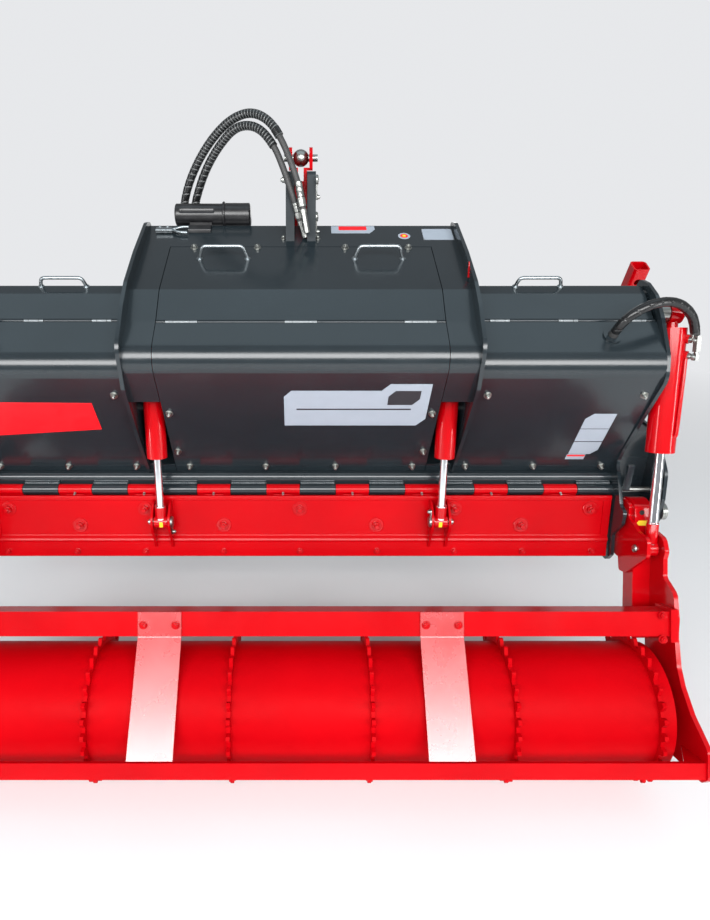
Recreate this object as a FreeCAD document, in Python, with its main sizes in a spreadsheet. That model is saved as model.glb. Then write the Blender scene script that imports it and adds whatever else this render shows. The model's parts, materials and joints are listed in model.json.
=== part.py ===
"""Stone crusher, tiller and mulcher for a tractor's rear linkage, with a packer roller behind.

Axes: +X right, +Y forward (towards the tractor), +Z up; the origin is on the ground under the
middle of the machine's box. Outlines in side view are given as (back, up) from the hinge line
of the rear hood, because every side plate and skin is set out from that line.
"""
import FreeCAD, Part
import math
import os
import Sketcher
from FreeCAD import Placement, Rotation, Vector

doc = FreeCAD.newDocument("StoneCrusher")
sheet = doc.addObject("Spreadsheet::Sheet", "Sizes")
rows = [0]


class Size:
    """A length with its value and the sheet expression that gives it."""

    def __init__(self, value, text):
        self.value, self.text = float(value), text

    def __add__(self, other):
        return combine(self, "+", other)

    def __radd__(self, other):
        return combine(other, "+", self)

    def __sub__(self, other):
        return combine(self, "-", other)

    def __rsub__(self, other):
        return combine(other, "-", self)

    def __mul__(self, other):
        return combine(self, "*", other)

    def __rmul__(self, other):
        return combine(other, "*", self)

    def __truediv__(self, other):
        return combine(self, "/", other)

    def __neg__(self):
        return combine(0, "-", self)


def number(item):
    return item.value if isinstance(item, Size) else float(item)


def words(item):
    """The item as expression text."""
    if isinstance(item, Size):
        return item.text
    return "%.6g" % item if item >= 0 else "(%.6g)" % item


def combine(first, sign, second):
    a, b = number(first), number(second)
    result = {"+": a + b, "-": a - b, "*": a * b, "/": a / b if b else 0.0}[sign]
    return Size(result, "(%s %s %s)" % (words(first), sign, words(second)))


def size(alias, value, note):
    """Put a driving dimension in the sheet and return it."""
    rows[0] += 1
    cell = "B%d" % rows[0]
    sheet.set("A%d" % rows[0], note)
    sheet.set(cell, str(value))
    sheet.setAlias(cell, alias)
    return Size(value, "Sizes." + alias)


def bind(item, name, value):
    """Set a property, tied to the sheet where the value is."""
    if isinstance(value, Size):
        item.setExpression(name, value.text)
    elif "." in name:
        item.setExpression(name, words(value))
    else:
        setattr(item, name, value)


# Driving dimensions -----------------------------------------------------------------------
hinge_z = size("hinge_height", 840, "hood hinge line above the ground")
hinge_y = size("hinge_place", -220, "hood hinge line forward of the origin")
inner_width = size("working_width", 2250, "between the side plates")
plate = size("side_plate_wall", 12, "side and bay plates")
skin = size("skin_wall", 5, "casing sheet")
gap = size("moving_gap", 6, "clearance beside moving pieces")
pin_gap = size("pin_gap", 0.3, "radial clearance on pins and shafts")
bay = size("bay_width", 1100, "between the middles of the bay plates")
lid_width = size("middle_lid_width", 904, "middle lid and rear panel")
rotor_back = size("rotor_back", -365, "rotor axis behind the hinge line")
rotor_up = size("rotor_up", -150, "rotor axis above the hinge line")
rotor_tube = size("rotor_tube_radius", 165, "rotor tube")
rotor_tip = size("rotor_tip_radius", 262, "circle of the tool tips")
chamber_radius = size("chamber_radius", 330, "inside of the chamber shell")
chamber_wall = size("chamber_wall", 10, "chamber shell")
shaft_radius = size("rotor_shaft_radius", 45, "rotor shaft")
drive_up = size("drive_up", 400, "cross shaft above the hinge line")
drive_tube = size("drive_tube_radius", 55, "cross shaft tube")
case_wall = size("gear_case_width", 70, "side gear case")
arm_gap = size("arm_gap", 8, "side plate to roller arm")
arm_plate = size("arm_plate_wall", 12, "inner arm plate")
arm_tube = size("arm_tube_side", 60, "arm tube")
frame_plate = size("frame_plate_wall", 15, "outer frame plate")
pivot_back = size("arm_pivot_back", 66, "roller arm pivot behind the hinge line")
pivot_up = size("arm_pivot_up", -33, "roller arm pivot above the hinge line")
pivot_pin = size("arm_pin_radius", 20, "roller arm pin")
guard_gap = size("guard_gap", 30, "outer frame plate to the pivot guard")
guard_wall = size("guard_wall", 12, "pivot guard plate")
drum_back = size("drum_back", 408, "roller axis behind the hinge line")
drum_radius = size("drum_radius", 208, "roller drum shell")
tooth_height = size("drum_tooth_height", 36, "teeth above the drum shell")
drum_half = size("drum_half_length", 1170, "roller drum, half of its length")
ring_pitch = size("ring_pitch", 448, "between toothed rings")
drum_wall = size("drum_wall", 10, "drum shell wall")
axle_radius = size("axle_radius", 25, "roller axle stub")
beam = size("beam_side", 80, "upper roller beam")
low_bar = size("low_bar_height", 50, "lower roller bar")
strap_place = size("strap_place", 456, "middle of the machine to the middle of a strap")
strap_width = size("strap_width", 140, "scraper strap")
lift_bore = size("lift_barrel_radius", 45, "roller cylinder barrel")
lift_rod = size("lift_rod_radius", 16, "roller cylinder rod")
hood_bore = size("hood_barrel_radius", 35, "hood cylinder barrel")
hood_rod = size("hood_rod_radius", 14, "hood cylinder rod")
hinge_radius = size("hinge_radius", 19, "hood hinge sleeve")
hinge_pin = size("hinge_pin_radius", 10, "hood hinge rod")
sleeve_pitch = size("sleeve_pitch", 250, "hood hinge sleeve spacing")
sleeve_shift = size("sleeve_shift", 61, "middle sleeve to the right of the middle")
sleeve_length = size("sleeve_length", 127, "hood hinge sleeve")
lid_pin = size("lid_pin_radius", 3, "lid hinge pin")
lid_knuckle = size("lid_knuckle_radius", 5.5, "lid hinge knuckle")
stand_side = size("stand_side", 60, "stand leg tube")
stand_wall = size("stand_wall", 6, "stand leg wall")
sleeve_wall = size("sleeve_wall", 6, "stand sleeve wall")
hitch_half = size("hitch_half_width", 482.5, "half of the width between lower pin shoulders")
hitch_pin = size("hitch_pin_radius", 18.3, "lower hitch pin")
hose = size("hose_radius", 15, "top hose with its spiral guard")
side_hose = size("side_hose_radius", 15, "roller hose with its spiral guard")

half = inner_width / 2
side_x = half + plate
arm_x = side_x + arm_gap
tube_x = arm_x + arm_plate
frame_x = tube_x + arm_tube
guard_x = frame_x + frame_plate + guard_gap
drum_up = drum_radius + tooth_height - hinge_z
drum_tip = drum_radius + tooth_height
bay_in = bay / 2 - plate / 2
bay_out = bay / 2 + plate / 2


def back(value):
    """Y of a place behind the hinge line."""
    return hinge_y - value


def up(value):
    """Z of a place above the hinge line."""
    return hinge_z + value


# Makers -----------------------------------------------------------------------------------
def origin_plane(body, role):
    return [f for f in body.Origin.OriginFeatures if f.Role == role][0]


def new_body(name):
    return doc.addObject("PartDesign::Body", name)


def put_sketch(body, role, offset=0):
    """A sketch on an origin plane of the body, moved along the plane's normal."""
    sketch = body.newObject("Sketcher::SketchObject", body.Name + "_sketch")
    sketch.AttachmentSupport = [(origin_plane(body, role), "")]
    sketch.MapMode = "FlatFace"
    bind(sketch, "AttachmentOffset.Base.z", offset)
    return sketch


def fix_point(sketch, geometry, place, point):
    """Tie one point of the sketch to its two coordinates."""
    for kind, value in (("DistanceX", point[0]), ("DistanceY", point[1])):
        row = sketch.addConstraint(Sketcher.Constraint(kind, -1, 1, geometry, place, number(value)))
        if isinstance(value, Size):
            sketch.setExpression("Constraints[%d]" % row, value.text)


def draw_circle(sketch, centre, radius):
    middle = Vector(number(centre[0]), number(centre[1]), 0)
    row = sketch.addGeometry(Part.Circle(middle, Vector(0, 0, 1), number(radius)))
    fix_point(sketch, row, 3, centre)
    ring = sketch.addConstraint(Sketcher.Constraint("Radius", row, number(radius)))
    if isinstance(radius, Size):
        sketch.setExpression("Constraints[%d]" % ring, radius.text)


def draw_outline(sketch, corners):
    """A closed outline; a corner with a third value is rounded to that radius."""
    flat = [Vector(number(c[0]), number(c[1]), 0) for c in corners]
    count = len(corners)
    starts, ends, centres = [], [], []
    for i, corner in enumerate(corners):
        if len(corner) < 3:
            starts.append(flat[i])
            ends.append(flat[i])
            centres.append(None)
            continue
        to_last = (flat[i - 1] - flat[i]).normalize()
        to_next = (flat[(i + 1) % count] - flat[i]).normalize()
        spread = to_last.getAngle(to_next) / 2
        reach = number(corner[2]) / math.tan(spread)
        starts.append(flat[i] + to_last * reach)
        ends.append(flat[i] + to_next * reach)
        middle = (to_last + to_next).normalize()
        centres.append(flat[i] + middle * (number(corner[2]) / math.sin(spread)))
    lines = [sketch.addGeometry(Part.LineSegment(ends[i], starts[(i + 1) % count]))
             for i in range(count)]
    for i, corner in enumerate(corners):
        before, after = lines[i - 1], lines[i]
        if centres[i] is None:
            sketch.addConstraint(Sketcher.Constraint("Coincident", before, 2, after, 1))
            fix_point(sketch, after, 1, corner)
            continue
        centre, radius = centres[i], number(corner[2])
        first, last = starts[i] - centre, ends[i] - centre
        turn = first.x * last.y - first.y * last.x
        a, b = (first, last) if turn > 0 else (last, first)
        arc = sketch.addGeometry(Part.ArcOfCircle(
            Part.Circle(centre, Vector(0, 0, 1), radius),
            math.atan2(a.y, a.x), math.atan2(b.y, b.x)))
        near, far = (1, 2) if turn > 0 else (2, 1)
        mark = sketch.addGeometry(Part.Point(flat[i]), True)
        sketch.addConstraint(Sketcher.Constraint("Tangent", before, 2, arc, near))
        sketch.addConstraint(Sketcher.Constraint("Tangent", after, 1, arc, far))
        sketch.addConstraint(Sketcher.Constraint("PointOnObject", mark, 1, before))
        sketch.addConstraint(Sketcher.Constraint("PointOnObject", mark, 1, after))
        ring = sketch.addConstraint(Sketcher.Constraint("Radius", arc, radius))
        if isinstance(corner[2], Size):
            sketch.setExpression("Constraints[%d]" % ring, corner[2].text)
        fix_point(sketch, mark, 1, corner)


def side(points):
    """Corners given as (back, up[, radius]) as sketch corners in side view."""
    return [(back(p[0]), up(p[1])) + tuple(p[2:]) for p in points]


def pad_body(name, role, start, length, outlines, circles=()):
    """A body padded from one sketch of outlines and circles."""
    body = new_body(name)
    sketch = put_sketch(body, role, start)
    for corners in outlines:
        draw_outline(sketch, corners)
    for centre, radius in circles:
        draw_circle(sketch, centre, radius)
    pad = body.newObject("PartDesign::Pad", name + "_pad")
    pad.Profile = sketch
    bind(pad, "Length", length)
    sketch.Visibility = False
    return body


def side_pad(name, start, stop, points, holes=()):
    """A piece of one side-view outline between two X places; holes are (back, up, radius)."""
    return pad_body(name, "YZ_Plane", start, stop - start, [side(points)] if points else [],
                    [((back(a), up(b)), r) for a, b, r in holes])


def band(points, wall):
    """The corners of a bent sheet: outer points, then the same moved left by the wall."""
    flat = [Vector(-number(p[0]), number(p[1]), 0) for p in points]
    inner = []
    for i, p in enumerate(points):
        before = (flat[i] - flat[i - 1]).normalize() if i else None
        after = (flat[i + 1] - flat[i]).normalize() if i + 1 < len(flat) else None
        one, two = before or after, after or before
        shift = Vector(-one.y - two.y, one.x + two.x, 0) / (1 + one.dot(two))
        spot = [p[0] - wall * round(shift.x, 6), p[1] + wall * round(shift.y, 6)]
        if len(p) > 2:
            left = one.cross(two).z > 0
            spot.append(p[2] - wall if left else p[2] + wall)
        inner.append(tuple(spot))
    return list(points) + inner[::-1]


def turned(name, points, stop, radius, start=0, hole=None):
    """A round bar or ring along X between two X places, its axis at (back, up)."""
    holes = [(points[0], points[1], radius)]
    if hole is not None:
        holes.append((points[0], points[1], hole))
    return side_pad(name, start, stop, None, holes)


def block(name, x0, x1, b0, b1, z0, z1):
    """A box from X, back and up limits."""
    box = doc.addObject("Part::Box", name)
    bind(box, "Length", x1 - x0)
    bind(box, "Width", b1 - b0)
    bind(box, "Height", z1 - z0)
    bind(box, "Placement.Base.x", x0)
    bind(box, "Placement.Base.y", back(b1))
    bind(box, "Placement.Base.z", up(z0))
    return box


def fuse(name, *shapes):
    joined = doc.addObject("Part::MultiFuse", name)
    joined.Shapes = list(shapes)
    joined.Refine = True
    return joined


def cut(name, base, tool):
    result = doc.addObject("Part::Cut", name)
    result.Base, result.Tool = base, tool
    return result


def group(name, *shapes):
    """Solids of one node that don't touch."""
    bundle = doc.addObject("Part::Compound", name)
    bundle.Links = list(shapes)
    return bundle


def mirror(item):
    """The same piece on the left."""
    copy = doc.addObject("Part::Mirroring", item.Name + "_left")
    copy.Source = item
    copy.Normal = Vector(1, 0, 0)
    return copy


def both(name, *items):
    return group(name, *(list(items) + [mirror(i) for i in items]))


def rod_between(name, x, foot, head, radius, start, stop):
    """A round bar in side view on the line from foot to head, between two distances."""
    bar = doc.addObject("Part::Cylinder", name)
    lean = math.atan2(number(head[0]) - number(foot[0]), number(head[1]) - number(foot[1]))
    bind(bar, "Radius", radius)
    bind(bar, "Height", stop - start)
    bar.Placement = Placement(Vector(0, 0, 0), Rotation(Vector(1, 0, 0), math.degrees(lean)))
    bind(bar, "Placement.Base.x", x)
    bind(bar, "Placement.Base.y", back(foot[0]) - start * math.sin(lean))
    bind(bar, "Placement.Base.z", up(foot[1]) + start * math.cos(lean))
    return bar


nodes = []


def node(label, item):
    """Name a finished sub-part; its file takes this name."""
    item.Label = label
    nodes.append(item)
    return item


# Side and bay plates ----------------------------------------------------------------------
def make_side_plates():
    outline = [(-110, 745, 20), (-60, 741, 30), (10, 713, 60), (71, 654), (151, 556, 60),
               (174, 485, 60), (85, 319), (16, 188), (-10, 124, 30), (21, 81), (78, -8, 20),
               (112, -12, 20), (112, -62, 20), (66, -125, 20), (88, -200, 15),
               (60, -240, 30), (-600, -240, 60), (-720, -130, 60), (-720, 150, 60),
               (-600, 330, 80), (-470, 540, 60), (-230, 560, 60)]
    holes = [(rotor_back, rotor_up, shaft_radius + gap)]
    right = side_pad("side_plate", half, side_x, outline, holes)
    node("side_plates", both("side_plate_pair", right))


def make_bay_plates():
    outline = [(-340, 905, 25), (-141, 830), (16, 757), (96, 700, 60), (205, 596, 60),
               (182, 454), (94, 288), (-27, 82), (-62, 82), (-62, 192), (-455, 192),
               (-455, 700, 60), (-402, 905, 25)]
    right = side_pad("bay_plate", bay_in, bay_out, outline)
    node("bay_plates", both("bay_plate_pair", right))


# Chamber ----------------------------------------------------------------------------------
def make_chamber():
    """Bent shell round the rotor with a square bar at the back and a box beam in front."""
    body = new_body("shell")
    sketch = put_sketch(body, "YZ_Plane", -half)
    centre = (back(rotor_back), up(rotor_up))
    outer = chamber_radius + chamber_wall
    draw_circle(sketch, centre, outer)
    draw_circle(sketch, centre, chamber_radius)
    pad = body.newObject("PartDesign::Pad", "shell_pad")
    pad.Profile = sketch
    bind(pad, "Length", inner_width)
    below = block("below", -half - 1, half + 1, rotor_back - outer - 1, rotor_back + outer + 1,
                  rotor_up - outer - 1, rotor_up)
    behind = block("behind", -half - 1, half + 1, -45, rotor_back + outer + 1,
                   rotor_up - 1, 30)
    arch = cut("arch", cut("arch_open", body, below), behind)
    apron = block("apron", -half, half, rotor_back - outer, rotor_back - chamber_radius,
                  -235, rotor_up)
    bar = block("hinge_bar", -half, half, -76, -8 - hinge_radius, 0, 72)
    node("chamber", fuse("chamber_shell", arch, apron, bar))


def make_front_beam():
    wall = 8
    outside = block("front_beam_out", -half, half, -700, -610, 102, 192)
    inside = block("front_beam_in", -half - 1, half + 1, -700 + wall, -610 - wall,
                   102 + wall, 192 - wall)
    return cut("front_beam_tube", outside, inside)


# Casing -----------------------------------------------------------------------------------
PANEL_FOOT = (-46, 72)
KNEE = (207, 563, 70)
SIDE_KNEE = (183, 532, 65)
ROOF = ((-256, 833.5), (-402, 896.1, 10))
FRONT = [(-424, 700), (-450, 192)]
LID_LINE = (82, 645)
LID_AXIS = (80.3, 643.1)
SIDE_LINE = (43, 640.6)
SIDE_AXIS = (41.5, 638.6)


def make_middle_panel():
    """Bent rear cover under the middle lid."""
    points = [PANEL_FOOT, KNEE, (LID_LINE[0] + 5, LID_LINE[1] - 3.3)]
    sheet_piece = side_pad("middle_skin", -lid_width / 2 + 1, lid_width / 2 - 1,
                           band(points, -skin))
    parts = [sheet_piece]
    for x in (-372, 0, 372):
        parts += hinge_fixed("middle_%d" % len(parts), x, LID_AXIS, 50)
    node("middle_rear_panel", fuse("middle_panel", *parts))


def hinge_fixed(name, x, line, wide):
    """Two knuckles with their pin at a lid's hinge line."""
    outer = turned(name + "_pin", line, x + wide, lid_pin, x - wide)
    left = turned(name + "_a", line, x - wide / 2 - 1, lid_knuckle, x - wide)
    right = turned(name + "_b", line, x + wide, lid_knuckle, x + wide / 2 + 1)
    return [outer, left, right]


def hinge_moving(name, x, line, wide):
    return turned(name, line, x + wide / 2, lid_knuckle, x - wide / 2, lid_pin + pin_gap)


def make_casing_middle():
    """Fixed strips beside the middle lid, the top strip and the front wall."""
    strip = [PANEL_FOOT, KNEE, LID_LINE, (-11, 728, 15), (-250, 831), ROOF[1]] + FRONT
    right = side_pad("casing_strip", lid_width / 2 + 1, bay_in, band(strip, -skin))
    window = block("cylinder_window", lid_width / 2, bay_in - 1, -60, 250, 110, 395)
    opened = cut("casing_strip_open", right, window)
    middle = side_pad("casing_top", -lid_width / 2 - 1, lid_width / 2 + 1,
                      band(list(ROOF) + FRONT, -skin))
    hull = fuse("middle_casing_skin", opened, mirror(opened), middle)
    neck = pad_body("neck_hole", "XZ_Plane", -back(-380) - 110, 110, [], [((0, up(drive_up)), 86)])
    node("middle_casing", cut("middle_casing_open", hull, neck))


def make_side_casing():
    points = [PANEL_FOOT, SIDE_KNEE, (SIDE_LINE[0] + 5, SIDE_LINE[1] - 3.9)]
    x0, x1 = bay_out, half
    rear = side_pad("side_rear_skin", x0, x1, band(points, -skin))
    front = [(-84, 706), (-86, 560), (-57, 192)]
    wall = side_pad("side_front_skin", x0, x1, band(front, -skin))
    mid = (number(x0) + number(x1)) / 2
    hinges = []
    for x in (mid - 210, mid + 6, mid + 222):
        hinges += hinge_fixed("side_%d" % len(hinges), x, SIDE_AXIS, 31)
    right = fuse("side_casing", rear, *hinges)
    node("side_casings", both("side_casing_pair", right, wall, make_grommets()))


def make_lids():
    wide = lid_width / 2 - 1
    points = [(LID_LINE[0] - 4.5, LID_LINE[1] + 4), (-11, 728, 15), (-248, 830)]
    skin_piece = side_pad("middle_lid_skin", -wide + gap, wide - gap, band(points, -skin))
    knuckles = [hinge_moving("middle_eye_%d" % i, x, LID_AXIS, 50)
                for i, x in enumerate((-372, 0, 372))]
    node("middle_lid", fuse("middle_lid_piece", skin_piece, *knuckles))
    x0, x1 = bay_out, half
    points = [(SIDE_LINE[0] - 5, SIDE_LINE[1] + 3.9), (-46, 709, 80), (-98, 733, 15), (-104, 712)]
    mid = (number(x0) + number(x1)) / 2
    piece = side_pad("side_lid_skin", x0 + gap, x1 - gap, band(points, -skin))
    knuckles = [hinge_moving("side_eye_%d" % i, x, SIDE_AXIS, 31)
                for i, x in enumerate((mid - 210, mid + 6, mid + 222))]
    right = fuse("right_lid_piece", piece, *knuckles)
    node("right_lid", right)
    node("left_lid", mirror(right))


# Drive ------------------------------------------------------------------------------------
def make_gearbox():
    """Gear block with its input neck; the block stands for the closed gears inside."""
    core = block("gear_block", -190, 190, -400, -140, 300, 560)
    neck = pad_body("gear_neck", "XZ_Plane", -back(-400) - 90, 90, [],
                    [((0, up(drive_up)), 85)])
    foot = block("gear_foot", -150, 150, -400, -180, 192, 300)
    node("gearbox", fuse("gearbox_block", core, neck, foot))
    stub = pad_body("pto_stub_bar", "XZ_Plane", -back(-490) - 110, 110, [],
                    [((0, up(drive_up)), 22.2)])
    node("pto_shaft", stub)


def make_drive_tubes():
    """Tubes round the cross shafts, from the gearbox to both side cases."""
    line = (-330, drive_up)
    inner = turned("shaft_tube_in", line, bay_in, drive_tube, 190)
    outer = turned("shaft_tube_out", line, half, drive_tube, bay_out)
    return inner, outer


def make_gear_cases():
    """Long side cases that carry the drive down to the rotor."""
    body = new_body("gear_case")
    sketch = put_sketch(body, "YZ_Plane", side_x)
    top, low, big, small = up(drive_up), up(rotor_up), 150, 125
    y = back(rotor_back)
    draw_outline(sketch, [(y - small, top + small, small * 0.8), (y - big, low - big, big * 0.8),
                          (y + big, low - big, big * 0.8), (y + small, top + small, small * 0.8)])
    pad = body.newObject("PartDesign::Pad", "gear_case_pad")
    pad.Profile = sketch
    bind(pad, "Length", case_wall)
    bore = turned("gear_case_bore", (rotor_back, rotor_up), side_x + case_wall - 15,
                  shaft_radius + pin_gap, side_x - 1)
    case = cut("gear_case_open", body, bore)
    node("side_drives", both("side_drive_pair", case, make_guard(), *make_drive_tubes()))


def make_guard():
    """Outer plate beside the roller arm, on webs from the side plate."""
    outer = side_pad("guard_plate", guard_x, guard_x + guard_wall,
                     [(-200, 230, 40), (-52, 230, 20), (66, 116, 60), (86, 24, 20), (86, -62, 20),
                      (44, -110, 20), (-200, -110, 40)])
    webs = [block("guard_web_%d" % k, side_x, guard_x, a, b, low, high)
            for k, (a, b, low, high) in enumerate(((-72, -60, -108, 224), (-198, -186, -108, 224),
                                                    (-186, -72, 212, 224)))]
    return fuse("guard", outer, *webs)


# Hitch ------------------------------------------------------------------------------------
def make_headstock():
    outline = [(-353, 1072, 15), (-290, 848.1), (-402, 896.1), (-430, 700), (-441, 552),
               (-560, 552, 20), (-605, 700, 60), (-590, 1040, 60), (-560, 1072, 20)]
    right = side_pad("mast_plate", 22.5, 52.5, outline)
    legs = [(-439, 545), (-458, 192), (-690, 192), (-690, 270, 40), (-590, 545)]
    leg = side_pad("mast_leg", 110, 125, legs)
    cross = block("mast_cross", -125, 125, -590, -439, 537, 552)
    node("front_frame", fuse("front_frame_piece", make_front_beam(), leg, mirror(leg), cross))
    node("headstock", both("mast_plates", right))


BALL = (-540, 1116)


def make_top_bracket():
    """Red bracket between the mast plates that holds the top link ball."""
    ear = [(-570, 1152, 25), (-505, 1152, 25), (-470, 1080), (-600, 1080)]
    outer = side_pad("ball_ear", 31, 43, ear)
    plate_out = [(-575, 1080), (-480, 1080), (-410, 880), (-560, 880)]
    inner = side_pad("ball_cheek", 10, 22, plate_out)
    step = block("ball_step", 10, 43, -575, -480, 1074, 1084)
    web = block("ball_web", -10, 10, -540, -430, 900, 1040)
    frame = fuse("bracket_frame", outer, mirror(outer), inner, mirror(inner), step,
                 mirror(step), web)
    bore = turned("ball_bore", BALL, 70, 12.8, -70)
    node("top_link_bracket", cut("bracket_bored", frame, bore))


def make_ball():
    """The top link's ball on its pin."""
    pin = turned("ball_pin", BALL, 62, 12.5, -62)
    ball = doc.addObject("Part::Sphere", "ball")
    bind(ball, "Radius", 30)
    bind(ball, "Placement.Base.y", back(BALL[0]))
    bind(ball, "Placement.Base.z", up(BALL[1]))
    return fuse("ball_and_pin", ball, pin)


def make_lower_hitch():
    """Plates on the front beam that carry the lower link pins."""
    outline = [(-700, 192), (-610, 192), (-610, 260, 20), (-700, 260, 40), (-800, 190, 40),
               (-880, 160, 40), (-880, 80, 40), (-800, 50, 60), (-700, 60)]
    cheek = side_pad("hitch_cheek", hitch_half - 40, hitch_half, outline)
    pin = turned("hitch_pin", (-835, 120), hitch_half + 110, hitch_pin, hitch_half)
    node("lower_hitch", both("lower_hitch_pair", fuse("hitch_side", cheek, pin)))


# Hood -------------------------------------------------------------------------------------
HINGE = (-8, 18)
HOOD_EYE = (76, -70)


def sleeve_places():
    """Middles of the grey hinge sleeves across the machine."""
    return [sleeve_pitch * k + sleeve_shift for k in range(-4, 5)]


def make_hinge():
    pin = turned("hinge_rod", HINGE, half, hinge_pin, -half)
    sleeves = []
    for k, x in enumerate(sleeve_places()):
        wide = sleeve_length / 2
        sleeves.append(turned("sleeve_%d" % k, HINGE, x + wide, hinge_radius, x - wide,
                              hinge_pin))
    node("hood_hinge", fuse("hood_hinge_piece", pin, *sleeves))


def make_hood():
    """Rear hood: a panel with edge frames that hangs from red knuckles."""
    wide = half - gap
    outline = [(-8, -14), (4, -8), (14, 6), (25, 6), (31, -45), (17, -49), (46, -148),
               (60, -146), (69, -176), (56, -180), (68, -219), (56, -223), (44, -184),
               (32, -146)]
    panel = side_pad("hood_sheet", -wide, wide, outline)
    knuckles = []
    places = sleeve_places()
    starts = [-wide] + [x + sleeve_length / 2 + 2 for x in places[:-1]]
    stops = [x - sleeve_length / 2 - 2 for x in places]
    for k, (start, stop) in enumerate(zip(starts, stops)):
        ring = turned("knuckle_%d" % k, HINGE, stop, hinge_radius, start, hinge_pin + pin_gap)
        tab = side_pad("knuckle_tab_%d" % k, start, stop,
                       [(-16, 6), (2, 4), (16, -4), (4, -16), (-8, -16)])
        knuckles += [ring, tab]
    ears = []
    for k, x in enumerate((463, 523)):
        ear = side_pad("hood_ear_%d" % k, x, x + 8,
                       [(22, -12), (62, -18, 24), (103, -50, 24), (103, -92, 24),
                        (64, -140), (42, -142), (16, -48)])
        ears += [ear, mirror(ear)]
    node("hood", fuse("hood_piece", panel, *(knuckles + ears)))


def make_hood_cylinders():
    foot, head = HOOD_EYE, (-5, 540)
    length = math.hypot(head[0] - foot[0], head[1] - foot[1])
    x = 497
    barrel = rod_between("hood_barrel_bar", x, foot, head, hood_bore, 240, length - 20)
    bore = rod_between("hood_barrel_bore", x, foot, head, hood_rod + 0.5, 239, 530)
    eye = turned("hood_barrel_eye", head, x + 15, 24, x - 15)
    shell = cut("hood_barrel_hollow", fuse("hood_barrel_solid", barrel, eye), bore)
    pin_hole = turned("hood_barrel_hole", head, x + 16, 10 + pin_gap, x - 16)
    shell = cut("hood_barrel_piece", shell, pin_hole)
    node("hood_barrel_right", shell)
    node("hood_barrel_left", mirror(shell))
    rod = rod_between("hood_rod_bar", x, foot, head, hood_rod, 10, 400)
    rod_eye = turned("hood_rod_eye", foot, x + 23, 22, x - 23)
    collar = rod_between("hood_rod_collar", x, foot, head, hood_rod + 6, 12, 62)
    rod_piece = fuse("hood_rod_piece", rod, rod_eye, collar)
    node("hood_rod_right", rod_piece)
    node("hood_rod_left", mirror(rod_piece))
    pin = turned("hood_cylinder_pin", head, bay_in, 10, x - 30)
    return pin


# Roller frame -----------------------------------------------------------------------------
LIFT_EYE = (195, -107)
LIFT_TOP = (6, 655)


BEAM_TILT = -24


DRAWN = (408, -596, 244)


def by_drum(behind, above, *radius, way=(0.678, 0.735)):
    """A place drawn for a drum whose axis and tip circle are DRAWN, moved with the axis and
    out from it by the change of that circle, as a rule square to the straps."""
    out = drum_tip - DRAWN[2]
    return (behind + (drum_back - DRAWN[0]) + out * way[0],
            above + (drum_up - DRAWN[1]) + out * way[1]) + radius


def make_arms():
    """Each arm: outer plate, box tube from the pivot, inner gusset and axle housing."""
    low = [(343, -189, 40), (385, -257, 60), (401, -306, 60), (456, -394, 60),
           (500, -435, 60), (575, -479), (685, -514, 30), (720, -593, 20), (700, -625, 20),
           (480, -700, 60), (360, -700, 60), (320, -560), (230, -380)]
    outline = [(150, -60, 20), (215, -56, 30), (246, -90, 20), (246, -118), (271, -175, 20)]
    outline += [by_drum(*p) for p in low] + [(150, -180)]
    axle = (drum_back, drum_up)
    outer = side_pad("arm_outer", frame_x, frame_x + frame_plate, outline)
    tube = side_pad("arm_tube", tube_x, frame_x,
                    [(20, -60, 20), (20, 12, 40), (70, 20, 40), (112, 14, 20), (130, -20, 20),
                     (202, -231), by_drum(281, -418, way=(0, 1.2)),
                     by_drum(206, -418, way=(0, 1.2)), (120, -205), (50, -85, 30)])
    hub = turned("arm_hub", axle, frame_x, 62, drum_half + gap * 2)
    gusset = side_pad("arm_gusset", arm_x, tube_x,
                      [(20, -60, 20), (16, 10, 40), (100, 14, 20), (110, -32, 20), (186, -47, 20),
                       (251, -38, 20), (270, -97, 20), (167, -224), (124, -240, 12),
                       (100, -198), (70, -204, 12), (46, -142)])
    clear = turned("arm_pin_bore", (pivot_back, pivot_up), frame_x + frame_plate + 1,
                   pivot_pin + pin_gap, arm_x - 1)
    axle_bore = turned("arm_axle_bore", axle, frame_x - 6, axle_radius + pin_gap, drum_half)
    flange = tilted_box("arm_flange", frame_x - 10, frame_x, by_drum(388, -218), beam + 16,
                        beam + 26, BEAM_TILT)
    solid = fuse("arm_solid", outer, tube, hub, gusset, flange)
    arm = cut("arm_bored", cut("arm_pinned", solid, clear), axle_bore)
    node("arm_right", arm)
    node("arm_left", mirror(arm))


def tilted_box(name, x0, x1, corner, wide, high, angle):
    """A bar along X whose section starts at its rear top corner and leans by an angle."""
    bar = doc.addObject("Part::Box", name)
    bind(bar, "Length", x1 - x0)
    bind(bar, "Width", wide)
    bind(bar, "Height", high)
    turn = math.radians(angle)
    bar.Placement = Placement(Vector(0, 0, 0), Rotation(Vector(1, 0, 0), angle))
    bind(bar, "Placement.Base.x", x0)
    bind(bar, "Placement.Base.y", back(corner[0]) + high * math.sin(turn))
    bind(bar, "Placement.Base.z", up(corner[1]) - high * math.cos(turn))
    return bar


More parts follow.
